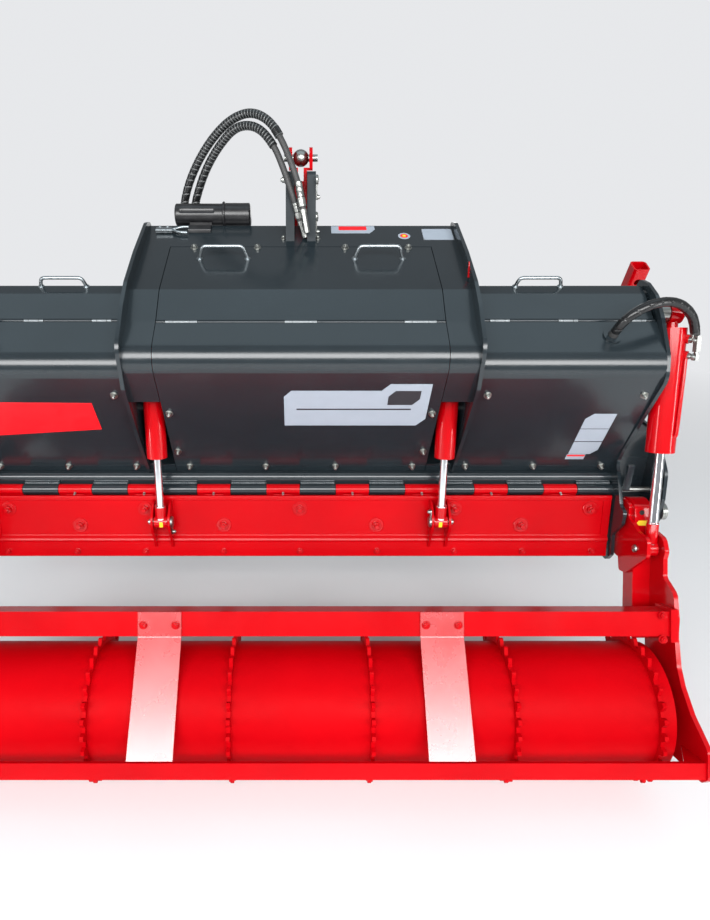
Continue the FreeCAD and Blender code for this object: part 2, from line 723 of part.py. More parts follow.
def make_beams():
    end = frame_x - 10
    plate_in = end - 14
    top = tilted_box("upper_bar", -plate_in, plate_in, by_drum(382, -230), beam, beam,
                     BEAM_TILT)
    cap = tilted_box("upper_cap", plate_in, end, by_drum(388, -218), beam + 16, beam + 26,
                     BEAM_TILT)
    node("upper_beam", fuse("upper_beam_piece", top, cap, mirror(cap)))
    low = tilted_box("lower_bar", -frame_x, frame_x, by_drum(693, -551), 14, low_bar, BEAM_TILT)
    wedge = tilted_wedge("lower_gusset", frame_x - 67, frame_x, by_drum(693, -551), 130, 10,
                         BEAM_TILT)
    node("lower_beam", fuse("lower_beam_piece", low, wedge, mirror(wedge)))
    line = [by_drum(383, -230), by_drum(416, -304, 12), by_drum(685, -552)]
    strap = side_pad("strap_flat", strap_place - strap_width / 2,
                     strap_place + strap_width / 2,
                     band([tuple(number(v) for v in p) for p in line], -6))
    node("straps", both("strap_pair", strap))


def tilted_wedge(name, x0, x1, corner, reach, wall, angle):
    """A flat three-cornered gusset in front of a leaning bar, widest at its outer end."""
    body = new_body(name)
    sketch = put_sketch(body, "XY_Plane")
    draw_outline(sketch, [(0, 0), (x1 - x0, 0), (x1 - x0, reach)])
    pad = body.newObject("PartDesign::Pad", name + "_pad")
    pad.Profile = sketch
    bind(pad, "Length", wall)
    turn = math.radians(angle)
    body.Placement = Placement(Vector(0, 0, 0), Rotation(Vector(1, 0, 0), angle))
    bind(body, "Placement.Base.x", x0)
    bind(body, "Placement.Base.y", back(corner[0]) + wall * math.sin(turn))
    bind(body, "Placement.Base.z", up(corner[1]) - wall * math.cos(turn))
    return body


TEETH = 30


def make_drum():
    """Drum shell with end discs and axle stubs, and six toothed rings."""
    axle = (drum_back, drum_up)
    shell = turned("drum_tube", axle, drum_half, drum_radius, -drum_half,
                   drum_radius - drum_wall)
    disc = turned("drum_disc", axle, drum_half, drum_radius - 5, drum_half - 12)
    stub = turned("drum_stub", axle, frame_x - 8, axle_radius, drum_half - 12)
    node("drum", fuse("drum_piece", shell, disc, mirror(disc), stub, mirror(stub)))
    rings = []
    for k in range(6):
        x = ring_pitch * (k - 2.5)
        rings.append(toothed_ring("tooth_ring_%d" % k, x - 6, 12))
    node("toothed_rings", group("tooth_ring_row", *rings))


def toothed_ring(name, start, wall):
    """A flat ring with hooked teeth round its rim."""
    body = new_body(name)
    blank = put_sketch(body, "YZ_Plane")
    draw_circle(blank, (0, 0), drum_radius + 14)
    draw_circle(blank, (0, 0), drum_radius)
    ring = body.newObject("PartDesign::Pad", name + "_ring")
    ring.Profile = blank
    bind(ring, "Length", wall)
    hook = put_sketch(body, "YZ_Plane")
    foot, tip = drum_radius + 10, drum_radius + tooth_height
    draw_outline(hook, [(-16, foot), (16, foot), (13, tip - 4), (3, tip), (-2, tip - 2)])
    tooth = body.newObject("PartDesign::Pad", name + "_tooth")
    tooth.Profile = hook
    bind(tooth, "Length", wall)
    teeth = body.newObject("PartDesign::PolarPattern", name + "_teeth")
    teeth.Originals = [tooth]
    teeth.Axis = (origin_plane(body, "X_Axis"), [""])
    teeth.Angle = 360
    teeth.Occurrences = TEETH
    body.Tip = teeth
    bind(body, "Placement.Base.x", start)
    bind(body, "Placement.Base.y", back(drum_back))
    bind(body, "Placement.Base.z", up(drum_up))
    return body


def make_lift_cylinders():
    foot, head = LIFT_EYE, LIFT_TOP
    length = math.hypot(head[0] - foot[0], head[1] - foot[1])
    x = frame_x - 21
    barrel = rod_between("lift_barrel_bar", x, foot, head, lift_bore, 335, length - 45)
    bore = rod_between("lift_barrel_bore", x, foot, head, lift_rod + 0.5, 334, length - 55)
    eye = turned("lift_barrel_eye", head, x + 20, 32, x - 20)
    neck = rod_between("lift_barrel_neck", x, foot, head, 17, length - 50, length - 10)
    solid = fuse("lift_barrel_solid", barrel, neck, eye)
    hole = turned("lift_barrel_hole", head, x + 21, 15 + pin_gap, x - 21)
    shell = cut("lift_barrel_piece", cut("lift_barrel_open", solid, bore), hole)
    node("lift_barrel_right", shell)
    node("lift_barrel_left", mirror(shell))
    rod = rod_between("lift_rod_bar", x, foot, head, lift_rod, 20, 590)
    rod_eye = turned("lift_rod_eye", foot, x + 15, 26, x - 15)
    collar = rod_between("lift_rod_collar", x, foot, head, lift_rod + 3.5, 15, 92)
    piece = fuse("lift_rod_piece", rod, rod_eye, collar)
    node("lift_rod_right", piece)
    node("lift_rod_left", mirror(piece))
    pin = turned("lift_top_pin", head, x + 34, 15, side_x)
    boss = turned("lift_top_boss", head, x - 22, 27, side_x)
    pivot = (pivot_back, pivot_up)
    stub = turned("arm_pivot_pin", pivot, guard_x, pivot_pin, side_x)
    nut = turned("arm_pivot_nut", pivot, guard_x + guard_wall + 16, pivot_pin + 10,
                 guard_x + guard_wall)
    rest = turned("hinge_rod_end", HINGE, guard_x, hinge_pin, side_x)
    sides = both("pivot_pin_set", fuse("lift_pin_and_boss", pin, boss), stub, nut, rest,
                 make_hood_cylinders())
    node("steel_pins", group("steel_pin_set", sides, make_ball()))


# Stands -----------------------------------------------------------------------------------
STAND_LEAN = 24
STAND_TOP = (-374, 754)


def make_stands():
    x = side_x + case_wall + 13 + stand_side / 2
    turn = math.radians(STAND_LEAN)
    reach = (STAND_TOP[1] + number(hinge_z) - 14) / math.cos(turn)

    def leg(name, side_len, from_top, to_top, corner):
        body = new_body(name)
        sketch = put_sketch(body, "XY_Plane")
        h = side_len / 2
        draw_outline(sketch, [(-h, -h, corner), (h, -h, corner), (h, h, corner),
                              (-h, h, corner)])
        pad = body.newObject("PartDesign::Pad", name + "_pad")
        pad.Profile = sketch
        bind(pad, "Length", to_top - from_top)
        body.Placement = Placement(Vector(0, 0, 0), Rotation(Vector(1, 0, 0), STAND_LEAN))
        bind(body, "Placement.Base.x", x)
        bind(body, "Placement.Base.y", back(STAND_TOP[0]) + to_top * math.sin(turn))
        bind(body, "Placement.Base.z", up(STAND_TOP[1]) - to_top * math.cos(turn))
        return body

    outside = leg("stand_out", stand_side, 0, reach + 30, 14)
    inside = leg("stand_in", stand_side - stand_wall * 2, -1, reach + 31, 14 - stand_wall)
    hole = doc.addObject("Part::Cylinder", "stand_pin_hole")
    bind(hole, "Radius", 13)
    bind(hole, "Height", 100)
    hole.Placement = Placement(Vector(0, 0, 0), Rotation(Vector(1, 0, 0), STAND_LEAN - 90))
    bind(hole, "Placement.Base.x", x)
    bind(hole, "Placement.Base.y", back(STAND_TOP[0]) + 52 * math.sin(turn)
         - 50 * math.cos(turn))
    bind(hole, "Placement.Base.z", up(STAND_TOP[1]) - 52 * math.cos(turn)
         - 50 * math.sin(turn))
    foot = block("stand_foot", x - 60, x + 60, 0, 1, 0, 1)
    foot_back = STAND_TOP[0] - reach * math.sin(turn)
    bind(foot, "Width", 160)
    bind(foot, "Height", 14)
    bind(foot, "Placement.Base.y", back(foot_back) - 80)
    bind(foot, "Placement.Base.z", 0)
    limit = block("stand_limit", x - 100, x + 100, -1400, -700, -1200, 14 - hinge_z)
    tube = cut("stand_trim", cut("stand_drilled", cut("stand_tube", outside, inside), hole),
               limit)
    right = fuse("stand_leg", tube, foot)
    node("stand_right", right)
    node("stand_left", mirror(right))
    outer = leg("sleeve_out", stand_side + 1 + sleeve_wall * 2, 560, 900, 14)
    inner = leg("sleeve_in", stand_side + 1, 559, 901, 12)
    socket = cut("stand_sleeve", outer, inner)
    arm = block("sleeve_arm", side_x, x - stand_side / 2 - sleeve_wall, -700, -650, 20, 100)
    node("stand_sleeves", both("stand_sleeve_pair", fuse("sleeve_and_arm", socket, arm)))


# Rotor ------------------------------------------------------------------------------------
def make_rotor():
    axis = (rotor_back, rotor_up)
    tube = turned("rotor_tube", axis, half - gap, rotor_tube, -half + gap)
    shaft = turned("rotor_shaft", axis, side_x + case_wall - 20, shaft_radius,
                   -side_x - case_wall + 20)
    node("rotor_body", fuse("rotor_piece", tube, shaft))
    tools = []
    count = 32
    for k in range(count):
        x = (number(half) - 60) * (2 * k / (count - 1) - 1)
        angle = 360 * k * 5 / 16
        holder = doc.addObject("Part::Box", "tool_%d" % k)
        bind(holder, "Length", 56)
        bind(holder, "Width", 70)
        bind(holder, "Height", rotor_tip - rotor_tube)
        turn = math.radians(angle)
        holder.Placement = Placement(Vector(0, 0, 0), Rotation(Vector(1, 0, 0), angle))
        out = rotor_tube - 3
        bind(holder, "Placement.Base.x", x - 28)
        bind(holder, "Placement.Base.y", back(rotor_back) - out * math.sin(turn)
             - 35 * math.cos(turn))
        bind(holder, "Placement.Base.z", up(rotor_up) + out * math.cos(turn)
             - 35 * math.sin(turn))
        tools.append(holder)
    inside = turned("tool_seat", axis, half, rotor_tube, -half)
    node("rotor_tools", cut("rotor_tool_seated", group("rotor_tool_row", *tools), inside))


# Hoses and small fittings -----------------------------------------------------------------
HOSE_A = [(-442, -500, 852), (-442, -500, 932), (-416, -490, 1022), (-369, -476, 1108),
          (-309, -456, 1183), (-243, -432, 1237), (-170, -399, 1259), (-105, -362, 1230),
          (-62, -333, 1166), (-30, -308, 1093), (-5, -288, 1022), (8, -272, 950)]
HOSE_B = [(-404, -500, 852), (-404, -500, 922), (-380, -487, 1000), (-340, -466, 1084),
          (-286, -444, 1158), (-222, -416, 1216), (-148, -378, 1214), (-92, -345, 1156),
          (-57, -324, 1076), (-26, -307, 990), (2, -304, 902)]
HOSE_SIDE = [(973, 92.2, 602.46), (973, 113.04, 629.3), (986, 131, 662), (1012, 137, 688),
             (1055, 132, 708), (1105, 118, 714), (1157, 100, 704), (1202, 83, 676),
             (1233, 70, 640), (1249, 62, 600)]


def hose_tube(name, route, radius):
    """A tube along straight runs joined by tangent arcs as large as the runs allow."""
    spots = [Vector(x, back(b).value, up(z).value) for x, b, z in route]
    edges, last, tightest = [], spots[0], 1e9
    for i in range(1, len(spots) - 1):
        one, two = spots[i] - spots[i - 1], spots[i + 1] - spots[i]
        turn = one.getAngle(two)
        reach = 0.45 * min(one.Length, two.Length)
        bend = reach / math.tan(turn / 2)
        tightest = min(tightest, bend)
        a = spots[i] - one.normalize() * reach
        b = spots[i] + two.normalize() * reach
        inward = (two - one).normalize()
        middle = spots[i] + inward * (bend / math.cos(turn / 2) - bend)
        edges.append(Part.LineSegment(last, a).toShape())
        edges.append(Part.Arc(a, middle, b).toShape())
        last = b
    edges.append(Part.LineSegment(last, spots[-1]).toShape())
    path = Part.Wire(edges)
    ring = Part.Wire([Part.Circle(spots[0], edges[0].tangentAt(0), number(radius)).toShape()])
    tube = path.makePipeShell([ring], True, True, 1)
    expected = math.pi * number(radius) ** 2 * path.Length
    print("%s: tightest bend %.0f mm, length %.0f mm, volume ratio %.4f"
          % (name, tightest, path.Length, tube.Volume / expected))
    item = doc.addObject("Part::Feature", name)
    item.Shape = tube
    return item


def make_hoses():
    doc.recompute()
    node("top_hose_a", hose_tube("hose_a", HOSE_A, hose))
    node("top_hose_b", hose_tube("hose_b", HOSE_B, hose))
    right = hose_tube("hose_side", HOSE_SIDE, side_hose)
    node("side_hose_right", right)
    node("side_hose_left", mirror(right))


def make_hose_ends():
    """Fittings at the foot of the top hoses, couplers between the mast plates."""
    ledge = side_pad("hose_ledge", -470, -376,
                     [(-545, 792), (-545, 800), (-412.8, 800), (-413.7, 792)])
    stubs = []
    for k, x in enumerate((-442, -404)):
        stub = doc.addObject("Part::Cylinder", "hose_stub_%d" % k)
        bind(stub, "Radius", hose)
        bind(stub, "Height", 52)
        bind(stub, "Placement.Base.x", x)
        bind(stub, "Placement.Base.y", back(-500))
        bind(stub, "Placement.Base.z", up(800))
        stubs.append(stub)
    node("hose_bracket", fuse("hose_bracket_piece", ledge, *stubs))


def make_document_tube():
    tube = turned("document_can", (-425, 926), -182, 40, -455)
    cap = turned("document_cap", (-425, 926), -181, 43, -290)
    bracket = side_pad("document_bracket", -400, -320,
                       [(-406.1, 862), (-407.5, 850), (-450, 850), (-450, 900), (-422, 900),
                        (-422, 862)])
    node("document_tube", fuse("document_piece", tube, cap, bracket))


def make_grommets():
    """Rings on the side casings where the roller hoses come out."""
    slope = math.degrees(math.atan2(0.61, 0.79))
    spot = HOSE_SIDE[0]
    outer = doc.addObject("Part::Cylinder", "grommet_disc")
    bore = doc.addObject("Part::Cylinder", "grommet_bore")
    for item, radius, drop in ((outer, side_hose + 14, 0), (bore, side_hose + 0.3, 1)):
        bind(item, "Radius", radius)
        bind(item, "Height", 6 + 2 * drop)
        item.Placement = Placement(Vector(0, 0, 0), Rotation(Vector(1, 0, 0), slope))
        bind(item, "Placement.Base.x", spot[0])
        bind(item, "Placement.Base.y", back(spot[1]) + drop * math.sin(math.radians(slope)))
        bind(item, "Placement.Base.z", up(spot[2]) - drop * math.cos(math.radians(slope)))
    ring = cut("grommet_ring", outer, bore)
    return ring


def make_curtain():
    """Hanging strips in front of the rotor that stop thrown stones."""
    bar = turned("curtain_bar", (-700, -244), half, 9, -half)
    strips = []
    count = 28
    pitch = (inner_width - 20) / count
    for k in range(count):
        x = pitch * (k - count / 2)
        strips.append(block("strip_%d" % k, x + 5, x + pitch - 5, -704, -696, -430, -244))
    node("front_curtain", fuse("curtain_piece", bar, *strips))


for make in (make_side_plates, make_bay_plates, make_chamber, make_middle_panel,
             make_casing_middle, make_side_casing, make_lids, make_gearbox, make_gear_cases,
             make_headstock, make_top_bracket, make_lower_hitch, make_hinge, make_hood,
             make_arms, make_beams, make_drum, make_lift_cylinders, make_stands, make_rotor,
             make_hoses, make_hose_ends, make_document_tube, make_curtain):
    make()
doc.recompute()
for item in doc.Objects:
    state = [s for s in item.State if s in ("Invalid", "Error")]
    if state:
        raise RuntimeError("%s %s did not build" % (item.Name, item.Label))
for item in nodes:
    if item.Shape.isNull() or not item.Shape.isValid():
        raise RuntimeError("%s has no sound shape" % item.Label)
os.makedirs("parts", exist_ok=True)
for item in nodes:
    item.Shape.exportStep("parts/%s.step" % item.Label)
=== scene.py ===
"""Looks of a tractor-mounted stone crusher with its toothed roller.

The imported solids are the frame. This file gives each of them its finish, and adds the
bolts, handles, hoses, fittings, plates and weld beads. Every added surface is worked out
with numpy on a grid of two parameters and put in a mesh as whole arrays. Metres, +Z up,
+Y forward to the tractor.
"""
import json
import math

import bpy
import numpy as np
from mathutils import Matrix


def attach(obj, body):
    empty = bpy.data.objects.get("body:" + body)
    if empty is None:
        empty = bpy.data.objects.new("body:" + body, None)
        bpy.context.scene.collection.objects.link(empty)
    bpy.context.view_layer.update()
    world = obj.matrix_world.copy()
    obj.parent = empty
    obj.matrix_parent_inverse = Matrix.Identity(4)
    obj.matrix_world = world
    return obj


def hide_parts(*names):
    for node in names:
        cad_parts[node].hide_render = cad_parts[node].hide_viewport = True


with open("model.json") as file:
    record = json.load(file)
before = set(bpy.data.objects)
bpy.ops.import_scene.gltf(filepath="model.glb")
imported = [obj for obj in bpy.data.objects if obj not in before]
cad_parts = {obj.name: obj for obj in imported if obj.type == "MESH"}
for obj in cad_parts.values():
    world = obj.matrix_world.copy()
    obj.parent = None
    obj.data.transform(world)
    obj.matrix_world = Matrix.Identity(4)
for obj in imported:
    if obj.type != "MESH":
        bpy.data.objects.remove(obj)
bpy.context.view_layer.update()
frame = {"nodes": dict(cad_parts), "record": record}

HINGE_Y, HINGE_Z = -0.220, 0.840        # the hood's hinge line
SIDES = (("right", 1), ("left", -1))    # the two sides and the sign of their X


def at(x, back, above):
    """A point in metres from millimetres across, behind and above the hood's hinge line."""
    return np.array((x / 1000, HINGE_Y - back / 1000, HINGE_Z + above / 1000))


def unit(v):
    """The vector divided by its length, along the last axis."""
    v = np.asarray(v, float)
    return v / np.linalg.norm(v, axis=-1, keepdims=True)


# Surfaces ---------------------------------------------------------------------------------
def rows(points, caps=True):
    """One closed shell: points[i, j] runs along by i and round by j, with flat ends."""
    return np.asarray(points, float), caps


def shell_faces(n, m, caps, start):
    """Quads between neighbouring rows, wrapped round in j, and a polygon at each end."""
    i, j = np.meshgrid(np.arange(n - 1), np.arange(m), indexing="ij")
    k = (j + 1) % m
    quads = np.stack((i * m + j, i * m + k, (i + 1) * m + k, (i + 1) * m + j), -1)
    faces = (quads.reshape(-1, 4) + start).tolist()
    if caps:
        faces.append((np.arange(m)[::-1] + start).tolist())
        faces.append((np.arange(m) + (n - 1) * m + start).tolist())
    return faces


def outward(points):
    """The shell's rows, in the order whose signed volume is positive: the sum over quads
    of corner . (diagonal x diagonal) / 6 about the shell's middle."""
    p = points - points.mean((0, 1))
    q = np.roll(p, -1, 1)
    a, b, c, d = p[:-1], q[:-1], q[1:], p[1:]
    volume = (a * np.cross(c - a, d - b)).sum()
    for ring, sign in ((p[0], -1), (p[-1], 1)):
        volume += sign * (ring * np.cross(np.roll(ring, -1, 0), ring.mean(0))).sum()
    return points if volume > 0 else points[::-1]


def make(name, shells, material, body, angle=32):
    """A piece from its shells, smooth except where faces meet at more than the angle."""
    spots, faces, start = [], [], 0
    for points, caps in shells:
        points = outward(points)
        spots.append(points.reshape(-1, 3))
        faces += shell_faces(points.shape[0], points.shape[1], caps, start)
        start += points.shape[0] * points.shape[1]
    mesh = bpy.data.meshes.new(name)
    mesh.from_pydata(np.concatenate(spots), [], faces)
    mesh.update()
    mesh.materials.append(material)
    mesh.shade_smooth()
    mesh.set_sharp_from_angle(angle=math.radians(angle))
    piece = bpy.data.objects.new(name, mesh)
    bpy.context.scene.collection.objects.link(piece)
    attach(piece, body)
    return piece


def turned(profile, sides=20):
    """A turned shape: each (radius, height) of the profile carried round the local Z."""
    profile = np.asarray(profile, float)
    a = np.arange(sides) * 2 * np.pi / sides
    return rows(np.stack((profile[:, :1] * np.cos(a), profile[:, :1] * np.sin(a),
                          np.repeat(profile[:, 1:], sides, 1)), -1))


def hexagon(width, low, high, chamfer=0.12):
    """A hexagon bar's piece: across flats the width, with its upper corners turned off.
    The radius at an angle is half the width over the cosine from the flat's middle."""
    a = (np.arange(24) + 0.5) * 2 * np.pi / 24
    flat = width / 2 / np.cos((a + np.pi / 6) % (np.pi / 3) - np.pi / 6)
    top = np.minimum(flat, width / 2 * 1.02)
    radii = np.stack((flat, flat, top, top * 0.9))
    heights = np.array((low, high - chamfer * width, high, high + 0.004 * width))
    return rows(np.stack((radii * np.cos(a), radii * np.sin(a),
                          np.repeat(heights[:, None], 24, 1)), -1))


def carried(path, profile):
    """The profile (across, up) carried along the path: at each point the path's direction
    is the sum of its two runs, and the frame is turned least from point to point."""
    path, profile = np.asarray(path, float), np.asarray(profile, float)
    run = unit(np.diff(path, axis=0))
    way = unit(np.concatenate((run[:1], run[:-1] + run[1:], run[-1:])))
    side = np.cross(way[0], (0, 0, 1.0))
    if np.linalg.norm(side) < 0.1:
        side = np.cross(way[0], (0, 1.0, 0))
    sides = []
    for w in way:
        side = unit(side - w * (side @ w))
        sides.append(side)
    sides = np.array(sides)
    ups = np.cross(sides, way)
    return rows(path[:, None] + sides[:, None] * profile[None, :, :1]
                + ups[:, None] * profile[None, :, 1:])


def circle(radius, sides=16):
    """Points on a circle, radius times cosine and sine."""
    a = np.arange(sides) * 2 * np.pi / sides
    return radius * np.stack((np.cos(a), np.sin(a)), -1)


def rounded(corners, radius, steps=5):
    """A closed outline whose corners are arcs: each corner's point is the quadratic curve
    between the places at the radius along its two runs."""
    corners = np.asarray(corners, float)
    back, ahead = np.roll(corners, 1, 0), np.roll(corners, -1, 0)
    t = np.linspace(0, 1, steps)[:, None]
    out = []
    for c, b, a in zip(corners, back, ahead):
        r1 = min(radius, np.linalg.norm(b - c) * 0.48)
        r2 = min(radius, np.linalg.norm(a - c) * 0.48)
        p, q = c + unit(b - c) * r1, c + unit(a - c) * r2
        out.append((1 - t) ** 2 * p + 2 * t * (1 - t) * c + t ** 2 * q)
    return np.concatenate(out)


def smooth_path(points, radius, steps=6):
    """An open path whose inner corners are such arcs."""
    points = np.asarray(points, float)
    t = np.linspace(0, 1, steps)[:, None]
    out = [points[:1]]
    for b, c, a in zip(points[:-2], points[1:-1], points[2:]):
        r = min(radius, np.linalg.norm(b - c) * 0.48, np.linalg.norm(a - c) * 0.48)
        p, q = c + unit(b - c) * r, c + unit(a - c) * r
        out.append((1 - t) ** 2 * p + 2 * t * (1 - t) * c + t ** 2 * q)
    return np.concatenate(out + [points[-1:]])


def plate(outline, low, high, edge=0.0006):
    """A plate from its outline in local X and Y, with a small chamfer at its upper face:
    each row is the outline, drawn in towards its middle by its own amount."""
    outline = np.asarray(outline, float)
    middle = outline.mean(0)
    size = np.abs(outline - middle).max(0)
    levels = ((low, 0), (high - edge, 0), (high, edge))
    out = []
    for z, drawn in levels:
        ring = middle + (outline - middle) * (1 - drawn / size)
        out.append(np.column_stack((ring, np.full(len(ring), z))))
    return rows(np.array(out))


def seat(origin, normal, along=(1, 0, 0)):
    """A 4 x 4 frame at the origin whose Z is the normal and whose X is nearest to along."""
    z = unit(normal)
    x = unit(np.asarray(along, float) - z * np.dot(along, z))
    out = np.eye(4)
    out[:3, 0], out[:3, 1], out[:3, 2], out[:3, 3] = x, np.cross(z, x), z, origin
    return out


def placed(shells, *frames):
    """Copies of the shells, each point times the frame's axes plus its origin."""
    return [(points @ f[:3, :3].T + f[:3, 3], caps) for f in frames for points, caps in shells]


# Finishes ---------------------------------------------------------------------------------
def new_material(name):
    """A material with its node tree, its shader and the piece's own coordinates."""
    material = bpy.data.materials.new(name)
    material.use_nodes = True
    tree = material.node_tree
    shader = tree.nodes["Principled BSDF"]
    place = tree.nodes.new("ShaderNodeTexCoord").outputs["Object"]
    return material, tree, shader, place


def noise(tree, place, scale, detail=2.0, rough=0.5, stretch=None):
    """Noise on the piece's own coordinates; stretch draws it out along an axis."""
    node = tree.nodes.new("ShaderNodeTexNoise")
    node.inputs["Scale"].default_value = scale
    node.inputs["Detail"].default_value = detail
    node.inputs["Roughness"].default_value = rough
    if stretch:
        mapping = tree.nodes.new("ShaderNodeMapping")
        mapping.inputs["Scale"].default_value = stretch
        tree.links.new(place, mapping.inputs["Vector"])
        place = mapping.outputs["Vector"]
    tree.links.new(place, node.inputs["Vector"])
    return node.outputs["Fac"]


def ramp(tree, value, stops):
    """Colours or greys between the stops (position, value)."""
    node = tree.nodes.new("ShaderNodeValToRGB")
    bar = node.color_ramp
    while len(bar.elements) < len(stops):
        bar.elements.new(0.5)
    for element, (position, colour) in zip(bar.elements, stops):
        element.position = position
        element.color = (*colour, 1) if isinstance(colour, tuple) else (colour,) * 3 + (1,)
    tree.links.new(value, node.inputs["Fac"])
    return node.outputs["Color"]


def bump(tree, shader, height, strength, distance):
    """Relief of the shader's surface from a height."""
    node = tree.nodes.new("ShaderNodeBump")
    node.inputs["Strength"].default_value = strength
    node.inputs["Distance"].default_value = distance
    tree.links.new(height, node.inputs["Height"])
    tree.links.new(node.outputs["Normal"], shader.inputs["Normal"])


def mix(tree, amount, one, two):
    """The colour one where the amount is 0 and two where it is 1."""
    node = tree.nodes.new("ShaderNodeMix")
    node.data_type = "RGBA"
    tree.links.new(amount, node.inputs["Factor"])
    for socket, value in ((node.inputs[6], one), (node.inputs[7], two)):
        if isinstance(value, tuple):
            socket.default_value = (*value, 1)
        else:
            tree.links.new(value, socket)
    return node.outputs[2]


def sprayed_paint(name, colour, roughness, coat, dusty, peel=0.12, level=0.5, index=1.5):
    """Sprayed and baked paint: a faint cloud of tone, a fine orange peel, specks of dust
    and patches where it is duller."""
    material, tree, shader, place = new_material(name)
    tone = noise(tree, place, 3.0, 3)
    low = tuple(c * 0.9 for c in colour)
    high = tuple(min(1, c * 1.1) for c in colour)
    base = ramp(tree, tone, ((0.3, low), (0.7, high)))
    speck = ramp(tree, noise(tree, place, 260, 1), ((0.70, 0.0), (0.78, dusty)))
    shade = mix(tree, speck, base, tuple(min(1, c * 1.6 + 0.03) for c in colour))
    tree.links.new(shade, shader.inputs["Base Color"])
    dull = ramp(tree, noise(tree, place, 9, 4, 0.6),
                ((0.25, roughness * 0.85), (0.8, roughness * 1.25)))
    tree.links.new(dull, shader.inputs["Roughness"])
    shader.inputs["Specular IOR Level"].default_value = level
    shader.inputs["IOR"].default_value = index
    shader.inputs["Coat Weight"].default_value = coat
    shader.inputs["Coat Roughness"].default_value = 0.10
    bump(tree, shader, noise(tree, place, 420, 1), peel, 0.0004)
    return material


def bare_steel(name, colour, roughness, lines, metallic=1.0):
    """Plated or forged steel: fine drawn lines or grains, and dull patches."""
    material, tree, shader, place = new_material(name)
    base = ramp(tree, noise(tree, place, 14, 4, 0.6),
                ((0.3, tuple(c * 0.8 for c in colour)), (0.7, colour)))
    tree.links.new(base, shader.inputs["Base Color"])
    shader.inputs["Metallic"].default_value = metallic
    dull = ramp(tree, noise(tree, place, 60, 3, 0.7),
                ((0.3, roughness * 0.7), (0.75, roughness * 1.5)))
    tree.links.new(dull, shader.inputs["Roughness"])
    bump(tree, shader, noise(tree, place, lines, 2), 0.15, 0.0003)
    return material


def moulded(name, colour, roughness, grain, strength, coat=0.0, bloom=0.7):
    """Rubber, plastic or foil: a fine moulded grain and a grey bloom in patches."""
    material, tree, shader, place = new_material(name)
    grey = tuple(c * (1 + bloom) + 0.014 * bloom for c in colour)
    base = ramp(tree, noise(tree, place, 22, 4, 0.6), ((0.4, colour), (0.85, grey)))
    tree.links.new(base, shader.inputs["Base Color"])
    dull = ramp(tree, noise(tree, place, 40, 2), ((0.3, roughness), (0.8, roughness * 1.3)))
    tree.links.new(dull, shader.inputs["Roughness"])
    shader.inputs["Coat Weight"].default_value = coat
    bump(tree, shader, noise(tree, place, grain, 2), strength, 0.0005)
    return material


RED = (0.43, 0.0004, 0.003)
GREY = (0.0125, 0.0185, 0.0225)

red_paint = sprayed_paint("red_coat", RED, 0.22, 0.0, 0.03, level=0.18)
red_gloss = sprayed_paint("red_gloss", RED, 0.14, 0.2, 0.03, level=0.3)
red_satin = sprayed_paint("red_satin", RED, 0.45, 0.0, 0.02, level=0.03)
red_strap = sprayed_paint("red_strap", RED, 0.26, 0.0, 0.0, 0.02, 0.75, 1.9)
grey_matt = sprayed_paint("slate_matt", GREY, 0.50, 0.0, 0.05, level=0.25)
weld_paint = sprayed_paint("weld_paint", (0.03, 0.04, 0.046), 0.18, 0.6, 0.3, peel=0.5)
grey_paint = sprayed_paint("slate_coat", GREY, 0.20, 0.2, 0.05)
cast_paint = sprayed_paint("painted_casting", (0.045, 0.055, 0.062), 0.5, 0.0, 0.1, peel=0.6)
zinc = bare_steel("zinc_plate", (0.40, 0.41, 0.39), 0.33, 900)
hard_chrome = bare_steel("hard_chrome", (0.82, 0.83, 0.85), 0.10, 1500)
forged = bare_steel("forged_steel", (0.16, 0.15, 0.14), 0.5, 120, metallic=0.7)
hose_rubber = moulded("hose_rubber", (0.012, 0.012, 0.013), 0.42, 500, 0.2)
black_gloss = moulded("black_gloss", (0.007, 0.007, 0.008), 0.30, 260, 0.08, coat=0.15)
curtain = moulded("curtain_rubber", (0.02, 0.02, 0.02), 0.7, 160, 0.5)
label_face = moulded("label_face", (0.31, 0.355, 0.41), 0.40, 700, 0.03, bloom=0.05)
label_dark = moulded("label_dark", (0.025, 0.028, 0.033), 0.35, 700, 0.03, bloom=0.1)
label_red = moulded("label_red", (0.78, 0.002, 0.008), 0.40, 700, 0.03, bloom=0.05)
label_yellow = moulded("label_yellow", (0.80, 0.58, 0.02), 0.4, 700, 0.03, bloom=0.05)

SLOT_FINISH = {"red_paint": red_paint, "grey_paint": grey_paint, "cast_grey": cast_paint,
               "bright_steel": zinc, "chrome": hard_chrome, "tool_steel": forged,
               "hose_black": hose_rubber, "black_plastic": black_gloss,
               "curtain_rubber": curtain}
OWN_FINISH = {"drum": red_satin, "toothed_rings": red_satin, "straps": red_strap,
              "headstock": grey_matt}
for word, _ in SIDES:
    for kind in ("lift_barrel_", "hood_barrel_", "arm_", "stand_"):
        OWN_FINISH[kind + word] = red_gloss
for part in frame["record"]["subparts"]:
    mesh = frame["nodes"][part["node"]].data
    mesh.materials.clear()
    mesh.materials.append(OWN_FINISH.get(part["node"], SLOT_FINISH[part["material_slot"]]))


# Hoses ------------------------------------------------------------------------------------
HOSE_RADIUS, HOSE_STEP, HOSE_SIDES = 0.015, 0.0016, 28
# The strip's share of a turn, then the place in a turn and half width of the painted highlight,
# a lighter band at the strip's edge.
STRIP_SHARE, HIGHLIGHT_AT, HIGHLIGHT_HALF = 0.9, 0.82, 0.0018


